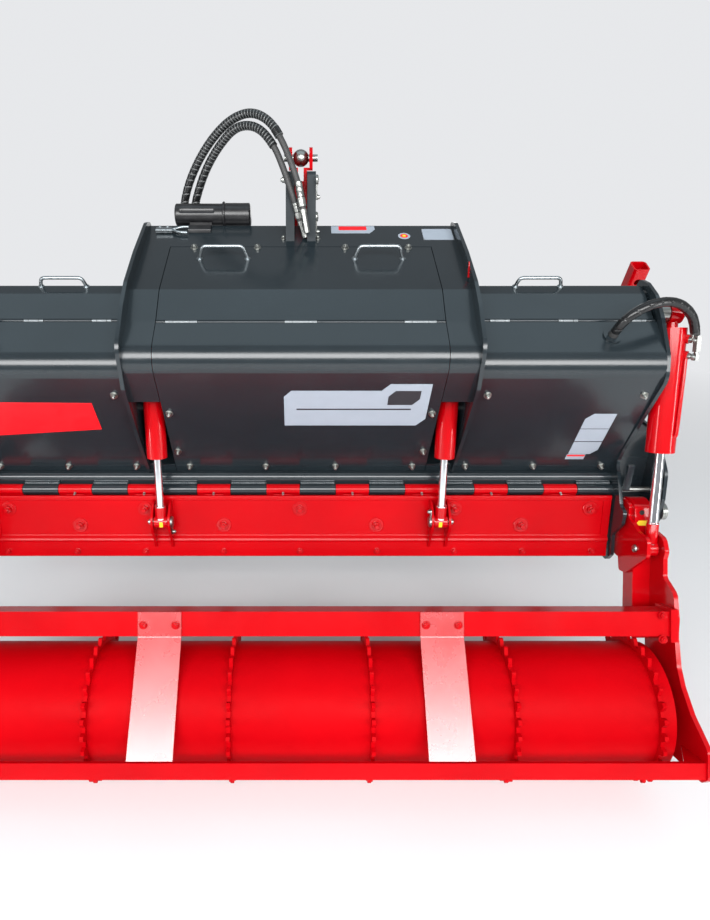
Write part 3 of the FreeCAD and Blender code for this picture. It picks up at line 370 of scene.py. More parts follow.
def hose_line(route):
    """The smooth line of a hose: a spline whose control points are the route's."""
    curve = bpy.data.curves.new("hose_line", "CURVE")
    curve.dimensions = "3D"
    curve.resolution_u = 24
    spline = curve.splines.new("NURBS")
    spline.points.add(len(route) - 1)
    spline.points.foreach_set("co", np.column_stack(
        (np.array([at(*p) for p in route]), np.ones(len(route)))).ravel())
    spline.order_u = 3
    spline.use_endpoint_u = True
    line = bpy.data.objects.new("hose_line", curve)
    bpy.context.scene.collection.objects.link(line)
    mesh = bpy.data.meshes.new_from_object(line)
    spots = np.zeros(len(mesh.vertices) * 3)
    mesh.vertices.foreach_get("co", spots)
    bpy.data.objects.remove(line)
    return spots.reshape(-1, 3)


def evenly(path, step):
    """The path again with points at equal steps along it."""
    along = np.concatenate(([0], np.cumsum(np.linalg.norm(np.diff(path, axis=0), axis=1))))
    count = max(2, int(round(along[-1] / step)) + 1)
    wanted = np.linspace(0, along[-1], count)
    return np.stack([np.interp(wanted, along, path[:, k]) for k in range(3)], -1), along[-1]


def guarded_hose(route, pitches, ends, bare, cuff, light):
    """A hose with a flat strip wound round it. The turns wound up to a distance s are the
    sum of ds / pitch; where the fraction of turns + angle / 2 pi is under STRIP_SHARE lies
    the strip, that rises a little to its edge, and the groove lies past it. Outside the two
    ends the hose is bare, and a cuff of that length closes the strip's last turn."""
    path, length = evenly(hose_line(route), HOSE_STEP)
    tube = carried(path, circle(1.0, HOSE_SIDES))[0]
    s = np.linspace(0, length, len(path))
    pitch = np.interp(s, pitches[0], pitches[1])
    turns = np.cumsum(np.full(len(s), length / (len(s) - 1)) / pitch)[:, None]
    phase = (turns + np.arange(HOSE_SIDES)[None, :] / HOSE_SIDES) % 1.0
    strip = np.where(phase < STRIP_SHARE, 0.96 + 0.04 * phase / STRIP_SHARE, 0.90)
    # Painted highlight: a lighter band at each strip edge, standing in for the light the edges
    # catch, scaled by light.
    reach = HIGHLIGHT_HALF / np.abs(pitch)[:, None]
    edge = np.clip(1 - np.abs(phase - HIGHLIGHT_AT) / reach, 0, 1) * light
    guarded = ((s > ends[0]) & (s < length - ends[1]))[:, None]
    ring = (cuff > 0) & (np.abs(s - length + ends[1] - cuff / 2) < cuff / 2)
    size = np.where(guarded, strip, bare)
    size[ring] = 1.04
    edge = np.where(guarded, edge, 0.0)
    edge[ring] = 0.0
    # The cuff's two rims get the full painted highlight.
    marks = np.flatnonzero(ring)
    if len(marks):
        edge[[marks[0], marks[-1]]] = 1.0
    centre = path[:, None]
    shell = centre + (tube - centre) * (HOSE_RADIUS * size)[..., None]
    flip = outward(shell) is not shell
    highlight = edge[::-1] if flip else edge
    skin = (guarded | ring[:, None]) * np.ones(HOSE_SIDES)
    return path, length, rows(shell), highlight, skin[::-1] if flip else skin


HOSE_A = [(-442, -500, 852), (-442, -500, 932), (-416, -490, 1022), (-369, -476, 1108),
          (-309, -456, 1183), (-243, -432, 1237), (-170, -399, 1259), (-105, -362, 1230),
          (-62, -333, 1166), (-30, -308, 1093), (-5, -288, 1022), (8, -272, 950)]
HOSE_B = [(-404, -500, 852), (-404, -500, 922), (-380, -487, 1000), (-340, -466, 1084),
          (-286, -444, 1158), (-222, -416, 1216), (-148, -378, 1214), (-92, -345, 1156),
          (-57, -324, 1076), (-26, -307, 990), (2, -304, 902)]
HOSE_SIDE = [(973, 92.2, 602.46), (973, 113.04, 629.3), (986, 131, 662), (1012, 137, 688),
             (1055, 132, 708), (1105, 118, 714), (1157, 100, 704), (1202, 83, 676),
             (1233, 70, 640), (1249, 62, 600)]


def hose_material():
    """Guard plastic with a painted highlight, a lighter grey at the strip's edges that stands in
    for the light they catch,
    over bare rubber: both shares are the mesh's own attributes."""
    material, tree, shader, place = new_material("guarded_hose")
    highlight = tree.nodes.new("ShaderNodeAttribute")
    highlight.attribute_name = "painted_edge_highlight"
    skin = tree.nodes.new("ShaderNodeAttribute")
    skin.attribute_name = "guard"
    rubber = ramp(tree, noise(tree, place, 30, 4), ((0.3, 0.030), (0.8, 0.048)))
    # Painted highlight: the plastic is lighter grey where the edge attribute is 1.
    plastic = mix(tree, highlight.outputs["Fac"], (0.008, 0.0085, 0.009), (0.13, 0.14, 0.14))
    tree.links.new(mix(tree, skin.outputs["Fac"], rubber, plastic), shader.inputs["Base Color"])
    shine = ramp(tree, skin.outputs["Fac"], ((0.0, 0.55), (1.0, 0.24)))
    tree.links.new(shine, shader.inputs["Roughness"])
    bump(tree, shader, noise(tree, place, 500, 2), 0.12, 0.0004)
    return material


HOSE_SKIN = hose_material()


def hang(name, node, route, pitches, ends, cuff=0.0, bare=0.73, light=1.0):
    """A guarded hose in place of the node, with its painted edge highlight and guard as
    attributes.
    """
    path, length, tube, highlight, skin = guarded_hose(route, pitches, ends, bare, cuff, light)
    piece = make(name, [tube], HOSE_SKIN, "machine", angle=50)
    # The painted edge highlight and the guard's share go on the mesh as point attributes.
    for share, values in (("painted_edge_highlight", highlight), ("guard", skin)):
        layer = piece.data.attributes.new(share, "FLOAT", "POINT")
        layer.data.foreach_set("value", np.asarray(values, float).ravel())
    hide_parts(node)
    return path


def coupler(path, ferrule, start, stop, tail):
    """A crimped ferrule, its hexagon and the nipple down to a nut, on a hose's last run.
    The ferrule is a round whose radius drops at two shares of its length."""
    f = seat(path[-1], path[-1] - path[-12])
    crimps = ((0.30, 0.0128), (0.34, 0.0119), (0.38, 0.0128), (0.62, 0.0128), (0.66, 0.0119),
              (0.70, 0.0128), (1.0, 0.0126))
    sleeve = [(0.0112, start), (0.0128, start + 0.002)]
    sleeve += [(radius, start + ferrule * share) for share, radius in crimps]
    body = [turned(sleeve, 24), hexagon(0.027, start + ferrule + 0.003, stop),
            disc(0.0095, start, stop + 0.012),
            hexagon(0.023, stop + 0.010, stop + 0.022), disc(0.0105, stop + 0.022, tail)]
    return placed(body, f)


guard_pitch = ([0, 0.16, 0.30, 1.0], [0.030, 0.028, 0.012, 0.0105])
line_a = hang("mast_hose_a", "top_hose_a", HOSE_A, guard_pitch, (0.006, 0.285), 0.030)
line_b = hang("mast_hose_b", "top_hose_b", HOSE_B, guard_pitch, (0.006, 0.270))
for word, k in SIDES:
    hang("lift_hose_" + word, "side_hose_" + word, [(k * x, b, z) for x, b, z in HOSE_SIDE],
         ([0, 1.0], [0.036 * k, 0.032 * k]), (0.022, 0.012), bare=0.95, light=0.0)


# Places on the side-view lines ------------------------------------------------------------
# Straight lines of the side view, each from one (back, up) to another.
LINES = {"panel": ((-46, 72), (207, 563)), "side": ((-46, 72), (183, 532)),
         "lid": ((-11, 728), (-250, 831)), "roof": ((-256, 833.5), (-402, 896.1)),
         "side_lid": ((-46, 709), (-98, 733)), "hood": ((45, -143), (21, -12.5)),
         "strip": ((68, -219), (53, -169)), "beam": ((414.5, -303), (382, -230))}


def seats(line, places, lift=0.0):
    """Frames at (across, up) places of a side-view line, Z along its outward normal and
    Y up the line; the place behind the hinge follows from its height on the line."""
    (b0, z0), (b1, z1) = LINES[line]
    normal = unit((0, z0 - z1, b0 - b1))
    return [seat(at(x, b0 + (z - z0) / (z1 - z0) * (b1 - b0), z) + normal * lift, normal)
            for x, z in places]


def on_face(line, corners, low=0.0, high=0.0007):
    """A label cut to the corners, given as (across, up) on a side-view line."""
    corners = np.asarray(corners, float)
    middle = corners.mean(0)
    base = seats(line, [middle])[0]
    (b0, z0), (b1, z1) = LINES[line]
    stretch = math.hypot(b1 - b0, z1 - z0) / abs(z1 - z0)
    outline = (corners - middle) * (0.001, 0.001 * stretch)
    return placed([plate(outline, low, high, 0.0002)], base)


def disc(radius, low, high, edge=0.0004, sides=20):
    """A round bar or plate on the local Z with its upper rim turned off."""
    return turned([(radius, low), (radius, high - edge), (radius - edge, high)], sides)


def bolt(flats, washer, stud, tall, proud):
    """Washer, hexagon nut and the end of its stud, from the local Z = 0 up."""
    thick = 0.0024
    return [disc(washer, 0, thick), hexagon(flats, thick, thick + tall),
            turned([(stud, tall), (stud, tall + proud), (stud * 0.72, tall + proud + 0.0014)])]


# Bolts ------------------------------------------------------------------------------------
PANEL_BOLTS = [(-431, 348), (-431, 175), (-400, 101), (-126, 101), (124, 101), (401, 101),
               (429, 175), (430, 348)]
SIDE_BOLTS = [(595, 421), (1094, 421), (592, 101), (837, 101), (1083, 101)]
HOOD_BOLTS = [(-1057, -43), (-802, -104), (-563, -43), (-280, -104), (-3, -43), (274, -104),
              (557, -43), (800, -104), (1047, -43)]
STRIP_BOLTS = [(x, -200) for x in (-1070, -817, -568, -282, -3, 279, 562, 811, 1064)]

panel_bolt = bolt(0.017, 0.0125, 0.005, 0.008, 0.008)
both_sides = SIDE_BOLTS + [(-x, z) for x, z in SIDE_BOLTS]
make("panel_bolts", placed(panel_bolt, *seats("panel", PANEL_BOLTS),
                           *seats("side", both_sides)), zinc, "machine")
make("lid_bolts", placed(bolt(0.018, 0.013, 0.005, 0.008, 0.005), *seats(
    "lid", [(x, 829.5) for x in (-368, -150, 153, 371)])), zinc, "machine")
big = [disc(0.027, 0, 0.004, 0.0012, 32), disc(0.0175, 0.004, 0.006, 0.0006, 24),
       hexagon(0.026, 0.006, 0.018), disc(0.0085, 0.018, 0.030, 0.0016)]
make("hood_bolts", placed(big, *seats("hood", HOOD_BOLTS)), red_gloss, "hood")
make("strip_bolts", placed(bolt(0.018, 0.0125, 0.006, 0.009, 0.006),
                           *seats("strip", STRIP_BOLTS)), red_gloss, "hood")
STRAP_X = 456
beam_spots = [(s * (STRAP_X + d), -268) for s in (1, -1) for d in (-52, 52)]
beam_spots += [(s * x, z) for s in (1, -1) for x, z in ((1168, -240), (1168, -310))]
make("beam_bolts", placed(bolt(0.020, 0.014, 0.006, 0.009, 0.006),
                          *seats("beam", beam_spots, 0.006)), red_gloss, "roller_frame")


# Handles, hinge sleeves -------------------------------------------------------------------
def handle(line, x, z, wide, inner, tall):
    """A bar handle: a round bar carried along two legs and the grip, on round washers."""
    f = seats(line, [(x, z)])[0]
    path = smooth_path([(-wide, 0, 0), (-wide, 0, 0.006), (-inner, 0, tall), (inner, 0, tall),
                        (wide, 0, 0.006), (wide, 0, 0)], 0.014, 7)
    feet = placed([disc(0.0105, 0, 0.003), disc(0.008, 0.003, 0.006)],
                  seat((-wide, 0, 0), (0, 0, 1)), seat((wide, 0, 0), (0, 0, 1)))
    return placed([carried(path, circle(0.0058, 16))] + feet, f)


satin = bare_steel("satin_steel", (0.40, 0.44, 0.46), 0.30, 700)
dull_steel = bare_steel("dull_steel", (0.26, 0.28, 0.29), 0.45, 700)
make("middle_handles", handle("lid", -261, 800.8, 0.081, 0.067, 0.048)
     + handle("lid", 263, 800.8, 0.081, 0.067, 0.048), satin, "middle_lid")
for word, s in SIDES:
    make(word + "_handle", handle("side_lid", s * 779, 725, 0.074, 0.066, 0.034), satin,
         word + "_lid")


LID_AXIS, LID_HINGES = (80.3, 643.1), (-372, 0, 372)
SIDE_AXIS, SIDE_HINGES = (41.5, 638.6), (630.5, 846.5, 1062.5)
SLEEVE_RADIUS, ROLL_RADIUS = 0.0059, 0.0051


def bars(line, spans, radius):
    """Round bars or tubes along a lid's hinge line, between pairs of X."""
    ring = circle(radius, 16)
    return [carried([at(a, *line), at(b, *line)], ring) for a, b in spans]


def sleeves(name, body, line, hinges, *spread):
    """Thin tubes round hinge knuckles: at each hinge, pairs (distance off, half length)."""
    spans = [(x + s - half, x + s + half) for x in hinges for s, half in spread]
    make(name, bars(line, spans, SLEEVE_RADIUS), dull_steel, body)


sleeves("middle_lid_sleeves", "middle_lid", LID_AXIS, LID_HINGES, (0, 24.6))
sleeves("middle_hinge_sleeves", "machine", LID_AXIS, LID_HINGES, (-37.8, 12), (37.8, 12))
for word, k in SIDES:
    hinges = [k * x for x in SIDE_HINGES]
    sleeves(word + "_lid_sleeves", word + "_lid", SIDE_AXIS, hinges, (0, 15.2))
    sleeves(word + "_hinge_sleeves", "machine", SIDE_AXIS, hinges, (-23.8, 7), (23.8, 7))


# Labels, all blank ------------------------------------------------------------------------
def label(name, line, shapes):
    """A blank label of several shapes, each (corners, low, high, material), on a line."""
    for k, (corners, low, high, material) in enumerate(shapes):
        make("%s_%d" % (name, k), on_face(line, corners, low, high), material, "machine")


FOIL, PRINT = 0.0007, 0.001             # a label's own height and that of its print
label("rear_label", "panel", [
    ([(-54, 416), (-30, 440), (255, 440), (281, 466), (412, 466), (412, 324), (384, 295),
      (-54, 295)], 0, FOIL, label_face),
    ([(279, 417), (300, 440), (381, 440), (381, 407), (359, 383), (279, 383)], FOIL, PRINT,
     label_dark),
    ([(-14, 368), (358, 368), (358, 362), (-14, 362)], FOIL, PRINT, label_dark)])
label("side_label", "side", [
    ([(944, 321), (966, 343), (1041, 343), (1041, 279), (944, 279)], 0, FOIL, label_face),
    ([(944, 276), (1041, 276), (1041, 221), (944, 221)], 0, FOIL, label_face),
    ([(944, 217), (1041, 217), (1041, 181), (1020, 160), (944, 160)], 0, FOIL, label_face),
    ([(941, 158), (1007, 158), (1007, 134), (941, 134)], 0, FOIL, label_face),
    ([(943, 156), (1005, 156), (1005, 149), (943, 149)], FOIL, PRINT, label_red)])
label("red_label", "side", [
    ([(-1062, 392), (-676, 388), (-672, 276), (-1058, 246)], 0, FOIL, label_red)])
label("roof_label", "roof", [
    ([(109, 890), (265, 890), (265, 880), (246, 870), (109, 870)], 0, FOIL, label_face),
    ([(136, 889), (236, 889), (236, 878.5), (136, 878.5)], FOIL, PRINT, label_red),
    ([(430, 883), (542, 883), (542, 850), (430, 850)], 0, FOIL, label_dark),
    ([(433, 881.5), (539, 881.5), (539, 851.5), (433, 851.5)], FOIL, PRINT, label_face)])
ring_seat = seats("roof", [(366, 862.3)])[0]
make("round_label", placed([disc(0.0215, 0, FOIL)], ring_seat), label_face, "machine")
make("round_label_red", placed([disc(0.0135, FOIL, PRINT)], ring_seat), label_red, "machine")
make("round_label_yellow", placed([disc(0.007, PRINT, PRINT + 0.0003)], ring_seat),
     label_yellow, "machine")
make("plate_rivets", placed([disc(0.0022, FOIL, FOIL + 0.0014)], *seats(
    "roof", [(435, 880.5), (537, 880.5), (435, 852.5), (537, 852.5)])), zinc, "machine")


# Hood, casing foot and welds --------------------------------------------------------------
def side_outline(corners):
    """A closed side-view outline from (back, up[, radius]), as (forward, up) points whose
    corners are quadratic arcs of their own radius."""
    flat = np.array([(-c[0], c[1]) for c in corners], float)
    t = np.linspace(0, 1, 7)[:, None]
    out = []
    for k, (b, c, a) in enumerate(zip(np.roll(flat, 1, 0), flat, np.roll(flat, -1, 0))):
        if len(corners[k]) < 3:
            out.append(c[None])
            continue
        p = c + unit(b - c) * min(corners[k][2], np.linalg.norm(b - c) * 0.48)
        q = c + unit(a - c) * min(corners[k][2], np.linalg.norm(a - c) * 0.48)
        out.append((1 - t) ** 2 * p + 2 * t * (1 - t) * c + t ** 2 * q)
    return np.concatenate(out)


def along_x(outline, x0, x1, steps=2):
    """The side-view outline (forward, up) carried along X between two places."""
    ring = np.column_stack((np.zeros(len(outline)), outline)) / 1000
    return rows(np.stack([ring + (v / 1000, HINGE_Y, HINGE_Z)
                          for v in np.linspace(x0, x1, steps)]))


def weld(points, width, scale=0.004):
    """A bead along the points: a round carried along them whose radius rises and falls as
    the rectified sine of pi s / scale, with a slow wander of two sines."""
    path, length = evenly(np.asarray(points, float), 0.001)
    s = np.linspace(0, length, len(path))
    wave = 0.80 + 0.16 * np.abs(np.sin(np.pi * s / scale)) + 0.06 * np.sin(s * 311 + 1.3) \
        + 0.05 * np.sin(s * 733)
    ends = np.clip(np.minimum(s, length - s) / 0.004, 0.35, 1) ** 0.5
    tube = carried(path, circle(width / 2, 10))[0]
    return rows(path[:, None] + (tube - path[:, None]) * (wave * ends)[:, None, None])


HOOD_X, SLEEVE_X = 1118.9, [250 * k + 61 for k in range(-4, 5)]
SLEEVE_HALF, EAR_X, EAR_WALL = 65.6, (463, 523), 8
hood_form = side_outline([
    (-8, -14), (4, -8), (14, 6, 3), (25, 6, 5), (26.5, -10, 2), (21, -12.5), (45, -143, 4),
    (54, -150, 3), (60, -159, 3), (54, -163, 2), (55.5, -172, 3), (68, -219, 3), (56, -223, 2),
    (44, -184), (32, -146)])
frame_form = side_outline([(18, -10), (25, -10, 2), (49, -143, 3), (40, -143)])
tab_form = side_outline([(-16, 6), (2, 4), (16, -4), (4, -16), (-8, -16)])
ear_form = side_outline([(18, -6), (50, -8, 26), (103, -50, 24), (103, -92, 24), (82, -128),
                         (64, -182, 4), (46, -182), (16, -48)])
hood_shells = [along_x(hood_form, -HOOD_X, HOOD_X)]
for s in (-1, 1):
    hood_shells.append(along_x(frame_form, s * HOOD_X, s * (HOOD_X - 27)))
    for x in EAR_X:
        hood_shells.append(along_x(ear_form, s * x, s * (x + EAR_WALL)))
starts = [-HOOD_X] + [x + SLEEVE_HALF for x in SLEEVE_X[:-1]]
for start, x in zip(starts, SLEEVE_X):
    stop = x - SLEEVE_HALF
    hood_shells += [carried([at(start, -8, 18), at(stop, -8, 18)], circle(0.019, 28)),
                    along_x(tab_form, start, stop)]
hood_skin = make("hood_sheet", hood_shells, red_paint, "hood", angle=25)
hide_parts("hood")
t = np.radians(np.linspace(90, -5, 12))
nose = np.concatenate((np.array(((28, 51), (70, 66), (70, 73))), np.stack(
    (39 - 20 * np.cos(t), 53 + 20 * np.sin(t)), -1)))
make("casing_foot", [along_x(nose, -1124.8, 1124.8)], grey_paint, "machine",
     angle=25)

beads = []
for x in SLEEVE_X:
    wide = 63.5 if x < 1000 else 62
    for back, above, thick, scale in ((-19, 37.5, 0.015, 0.004), (-25, 44, 0.007, 0.003)):
        beads.append(weld([at(x - wide, back, above), at(min(x + wide, 1123), back, above)],
                          thick, scale))
make("sleeve_welds", beads, weld_paint, "machine", angle=80)
middles = [(a + b) / 2 for a, b in zip(SLEEVE_X, SLEEVE_X[1:])]
make("knuckle_welds", [weld([at(x - 34, 14.5, 6.8), at(x + 34, 14.5, 6.8)], 0.0045, 0.003)
                       for x in middles], red_paint, "hood", angle=80)
grease = [turned([(0.0045, 0), (0.0045, 0.004), (0.0028, 0.005), (0.0026, 0.009),
                  (0.0036, 0.010), (0.0034, 0.012), (0.0015, 0.0132)], 12)]
make("grease_nipples", placed(grease, *[seat(at(x, 10, 13), (0, -0.85, -0.2)) for x in middles]),
     zinc, "hood")


# Pins, mast, drive fittings ---------------------------------------------------------------
def facing(x, back, above, side):
    """A frame whose Z looks to the right (1) or left (-1) and whose X looks forward."""
    return seat(at(x, back, above), (side, 0, 0), (0, 1, 0))


def clip(x, back, above, drop, side=1, wide=0.017):
    """A pin's flag: a domed head and a flat strap down to a bolt."""
    f = facing(x, back, above, side)
    head = turned([(wide, 0), (wide, 0.005), (wide * 0.85, 0.008), (wide * 0.4, 0.0098)])
    strap = plate(rounded([(-0.012, 0), (0.012, 0), (0.008, -drop - 0.009),
                           (-0.008, -drop - 0.009)], 0.006), 0.0005, 0.0045)
    nut = placed(bolt(0.013, 0.009, 0.004, 0.006, 0.003), seat((0, -drop, 0.0045), (0, 0, 1)))
    return placed([head, strap] + nut, f)


mast = clip(52.6, -330, 1045, 0.055) + clip(52.6, -345, 925, 0.050)
mast += placed([disc(0.013, 0, 0.010), disc(0.009, 0.010, 0.017)],
               seat(at(62, -540, 1116), (1, 0, 0)), seat(at(-62, -540, 1116), (-1, 0, 0)))
mast += placed(bolt(0.018, 0.013, 0.006, 0.010, 0.006), facing(-52.6, -330, 1045, -1))
mast += placed(bolt(0.013, 0.009, 0.004, 0.007, 0.004),
               *[seats("roof", [(x, 853.9)])[0] for x in (-62, -44, 42, 60)])
make("mast_fittings", mast, zinc, "machine")
make("hose_couplers", coupler(line_a, 0.050, -0.094, -0.012, 0.075)
     + coupler(line_b, 0.030, -0.074, -0.022, 0.045), zinc, "machine")
bar_form = side_outline([(44, 42, 2), (44, 140, 2), (56, 140, 2), (56, 42, 2)])
for word, s in SIDES[::-1]:
    make("stop_bar_" + word, [along_x(bar_form, s * 1137, s * 1158)], grey_paint, "machine")


# Cylinders and their fittings -------------------------------------------------------------
def on_rod(x, foot, head):
    """The frame of a cylinder in side view: its origin at the foot eye, Z to the head."""
    axis = at(x, *head) - at(x, *foot)
    return seat(at(x, *foot), axis, (1, 0, 0))


def ring_x(x, back, above, radius, half, edge=0.0008):
    """A short round bar along X, both rims turned off."""
    profile = [(radius - edge, -half), (radius, -half + edge), (radius, half - edge),
               (radius - edge, half)]
    return placed([turned(profile, 28)], facing(x, back, above, 1))


def seal(inner, outer, low, high):
    """The black ring where a rod leaves its barrel, between two heights from the foot."""
    return [turned([(inner, low), (outer, low), (outer, high), (inner, high)])]


def span(spot, axis, start, stop, radius, sides=16):
    """A straight bar along the axis, from start to stop past the spot."""
    return carried([spot + axis * start, spot + axis * stop], circle(radius, sides))


HOOD_CYLINDER = (497, (76, -70), (-5, 540))     # across, foot eye and head eye
LIFT_CYLINDER = (1196, (195, -107), (6, 655))
PORTS = (0.712, 0.660)                          # the lift barrel's ports from the foot eye
OIL_PIPE = ((0.652, 0.66, 0.75, 0.050), (0.60, 0.60, 0.80, 0.0515),
            (0.45, 0.50, 0.87, 0.0515), (0.405, 0.44, 0.90, 0.0515),
            (0.395, 0.42, 0.91, 0.040))         # from the foot eye, across, behind, out

for word, k in SIDES:
    across, foot, head = HOOD_CYLINDER
    f = on_rod(k * across, foot, head)
    ends = ring_x(k * across, *foot, 0.0224, 0.0234) + placed(
        [turned([(0.0206, 0.018), (0.0206, 0.058), (0.0150, 0.0625)], 28)], f)
    make("hood_rod_end_" + word, ends, red_gloss, "hood_rod_" + word)
    make("hood_rod_seal_" + word, placed(seal(0.0145, 0.0185, 0.2385, 0.2392), f),
         black_gloss, "hood_barrel_" + word)
    pin = clip(k * 462.8, *foot, 0.040, -k, 0.020)
    pin += placed([disc(0.0105, 0, 0.009), disc(0.006, 0.009, 0.013)],
                  seat(at(k * 531, *foot), (k, 0, 0), (0, 1, 0)))
    pin += ring_x(k * (across + 1), *foot, 0.0095, 0.033)
    make("hood_pin_" + word, pin, zinc, "hood")
    sticker = placed([plate(rounded([(-0.006, -0.010), (0.006, -0.010), (0.006, 0.010),
                                     (-0.006, 0.010)], 0.001), 0, 0.0006)],
                     seat(at(k * (across - 3), foot[0] + 22.5, foot[1]), (0, -1, 0)))
    make("hood_sticker_" + word, sticker, label_yellow, "hood_rod_" + word)

    across, foot, head = LIFT_CYLINDER
    f = on_rod(k * across, foot, head)
    ends = ring_x(k * across, *foot, 0.0264, 0.0153) + placed(
        [turned([(0.0200, 0.020), (0.0200, 0.088), (0.0172, 0.0925)], 28)], f)
    make("lift_rod_end_" + word, ends, red_gloss, "lift_rod_" + word)
    body = "lift_barrel_" + word
    make("lift_seal_" + word, placed(seal(0.0165, 0.0215, 0.333, 0.3338), f), black_gloss,
         body)
    pivot, axis, way = f[:3, 3], f[:3, 2], unit((k * 0.72, -0.70, 0))
    ports, steel = [], []
    for high in PORTS:
        port = seat(pivot + axis * high + way * 0.043, way, axis)
        ports += placed([disc(0.0150, -0.004, 0.011, 0.001)], port)
        steel += placed([hexagon(0.019, 0.011, 0.019), disc(0.0075, 0.019, 0.024),
                         hexagon(0.022, 0.024, 0.034)], port)
    top, low = [pivot + axis * high + way * 0.077 for high in PORTS]
    inner = top - way * 0.014
    steel += [carried([low, low + axis * 0.012, top - axis * 0.03], circle(0.0065)),
              span(top, axis, -0.035, 0.014, 0.0125, 6),
              span(low, axis, -0.010, 0.012, 0.0105, 6),
              span(inner, axis, -0.010, 0.026, 0.0098, 6),
              span(inner, axis, 0.026, 0.034, 0.0070)]
    make("lift_ports_" + word, ports, red_gloss, body)
    make("lift_fittings_" + word, steel, zinc, body, angle=28)
    pipe = [pivot + axis * h + unit((k * a, -b, 0)) * out for h, a, b, out in OIL_PIPE]
    make("lift_oil_pipe_" + word, [carried(smooth_path(pipe, 0.02), circle(0.006, 14))],
         red_gloss, body, angle=60)


# Document tube and its bracket ------------------------------------------------------------
TUBE_START, TUBE_STOP, TUBE_ROUND, TUBE_SIDES = -455, -182, 7.0, 96
TUBE_Y, TUBE_Z = HINGE_Y + 0.425, HINGE_Z + 0.926
SLOT_X, SLOT_HALF, SLOT_ANGLE = -374, 56, math.radians(155)
SLOT_WIDE, SLOT_SLOPE, SLOT_DEEP = 7.5, 3.0, 2.4


def slotted_tube():
    """The tube is a round whose radius at (along s, angle a) is less inside a long slot:
    the slot's depth is a smooth step of the distance from the slot's middle line. The cap
    is wider than the tube and has a collar, and both ends are rounded off."""
    s = np.concatenate((np.linspace(TUBE_START, -290, 90), [-284, -283, -279, -277.5, -276,
                        -274, -273, -272], np.linspace(-271, TUBE_STOP, 30)))
    a = np.linspace(0, 2 * np.pi, TUBE_SIDES, endpoint=False)
    radius = np.where(s < -283, 39.6, np.where(s < -272.5, 44.6, 41.6))
    radius[(s > -279.5) & (s < -275.5)] = 47.0
    ends = np.clip(np.minimum(s - TUBE_START, TUBE_STOP - s) / TUBE_ROUND, 0, 1)
    radius = radius - TUBE_ROUND * (1 - np.sqrt(1 - (1 - ends) ** 2))
    past = np.maximum(np.abs(s - SLOT_X) - SLOT_HALF, 0)
    far = np.hypot(past[:, None], (a[None, :] - SLOT_ANGLE) * 40)
    dip = np.clip((SLOT_WIDE - far) / SLOT_SLOPE, 0, 1)
    dip = dip * dip * (3 - 2 * dip) * SLOT_DEEP
    r = radius[:, None] - dip
    return rows(np.stack((np.repeat(s[:, None], TUBE_SIDES, 1) / 1000,
                          TUBE_Y + r * np.cos(a) / 1000, TUBE_Z + r * np.sin(a) / 1000), -1))


can = make("document_can", [slotted_tube()], black_gloss, "machine", angle=45)
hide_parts("document_tube")
wedge = side_outline([(-345, 872), (-345, 884, 4), (-372, 897, 4), (-385, 893), (-385, 889)])
block = side_outline([(-392, 892), (-392, 903), (-436, 903), (-436, 892)])
make("tube_seat", [along_x(wedge, -402, -322), along_x(block, -402, -322)], black_gloss,
     "machine")
roof_seat = seats("roof", [(-485, 872)])[0]
fork = [carried([(-0.030, 0, 0.009), (0.012, 0, 0.009), (0.028, 0, 0.009)],
                rounded([(-0.010, -0.007), (0.010, -0.007), (0.010, 0.007), (-0.010, 0.007)],
                        0.003))]
for s in (-1, 1):
    fork.append(carried(smooth_path([(0.020, s * 0.002, 0.010), (0.030, s * 0.003, 0.010),
                                     (0.055, s * 0.019, 0.011), (0.083, s * 0.020, 0.011)],
                                    0.012), circle(0.0052, 12)))
fork += placed(bolt(0.015, 0.011, 0.005, 0.009, 0.006), seat((-0.018, 0.014, 0.001), (0, 0, 1)),
               seat((0.010, 0.014, 0.001), (0, 0, 1)))
make("latch_fork", placed(fork, roof_seat), satin, "machine", angle=50)


# Lid edges, hinge rolls and arm details ---------------------------------------------------
make("middle_hinge_roll", bars(LID_AXIS, [(-450, -423), (-321, -51), (51, 321), (423, 450)],
                               ROLL_RADIUS), grey_paint, "machine")
side_spans = [(s * a, s * b) for a, b in ((559, 598), (663, 814), (879, 1030), (1095, 1122))
              for s in (-1, 1)]
make("side_hinge_rolls", bars(SIDE_AXIS, side_spans, ROLL_RADIUS), grey_paint, "machine")
rim = side_outline([(77.5, 649), (-11, 728, 15), (-253, 832.2), (-255, 827.6),
                    (-13.5, 723.5, 11), (74.2, 645.3)])
top_rim = side_outline([(-247.5, 829.8), (-253, 832.2), (-255, 827.6), (-249.5, 825.2)])
make("lid_rims", [along_x(rim, 444.5, 450.5), along_x(rim, -450.5, -444.5),
                  along_x(top_rim, -444.4, 444.4)], grey_paint, "middle_lid")

ARM_FACE, ARM_UP = unit((0, -211, 72)), unit((0, 72, 211))     # the arms' rear edge
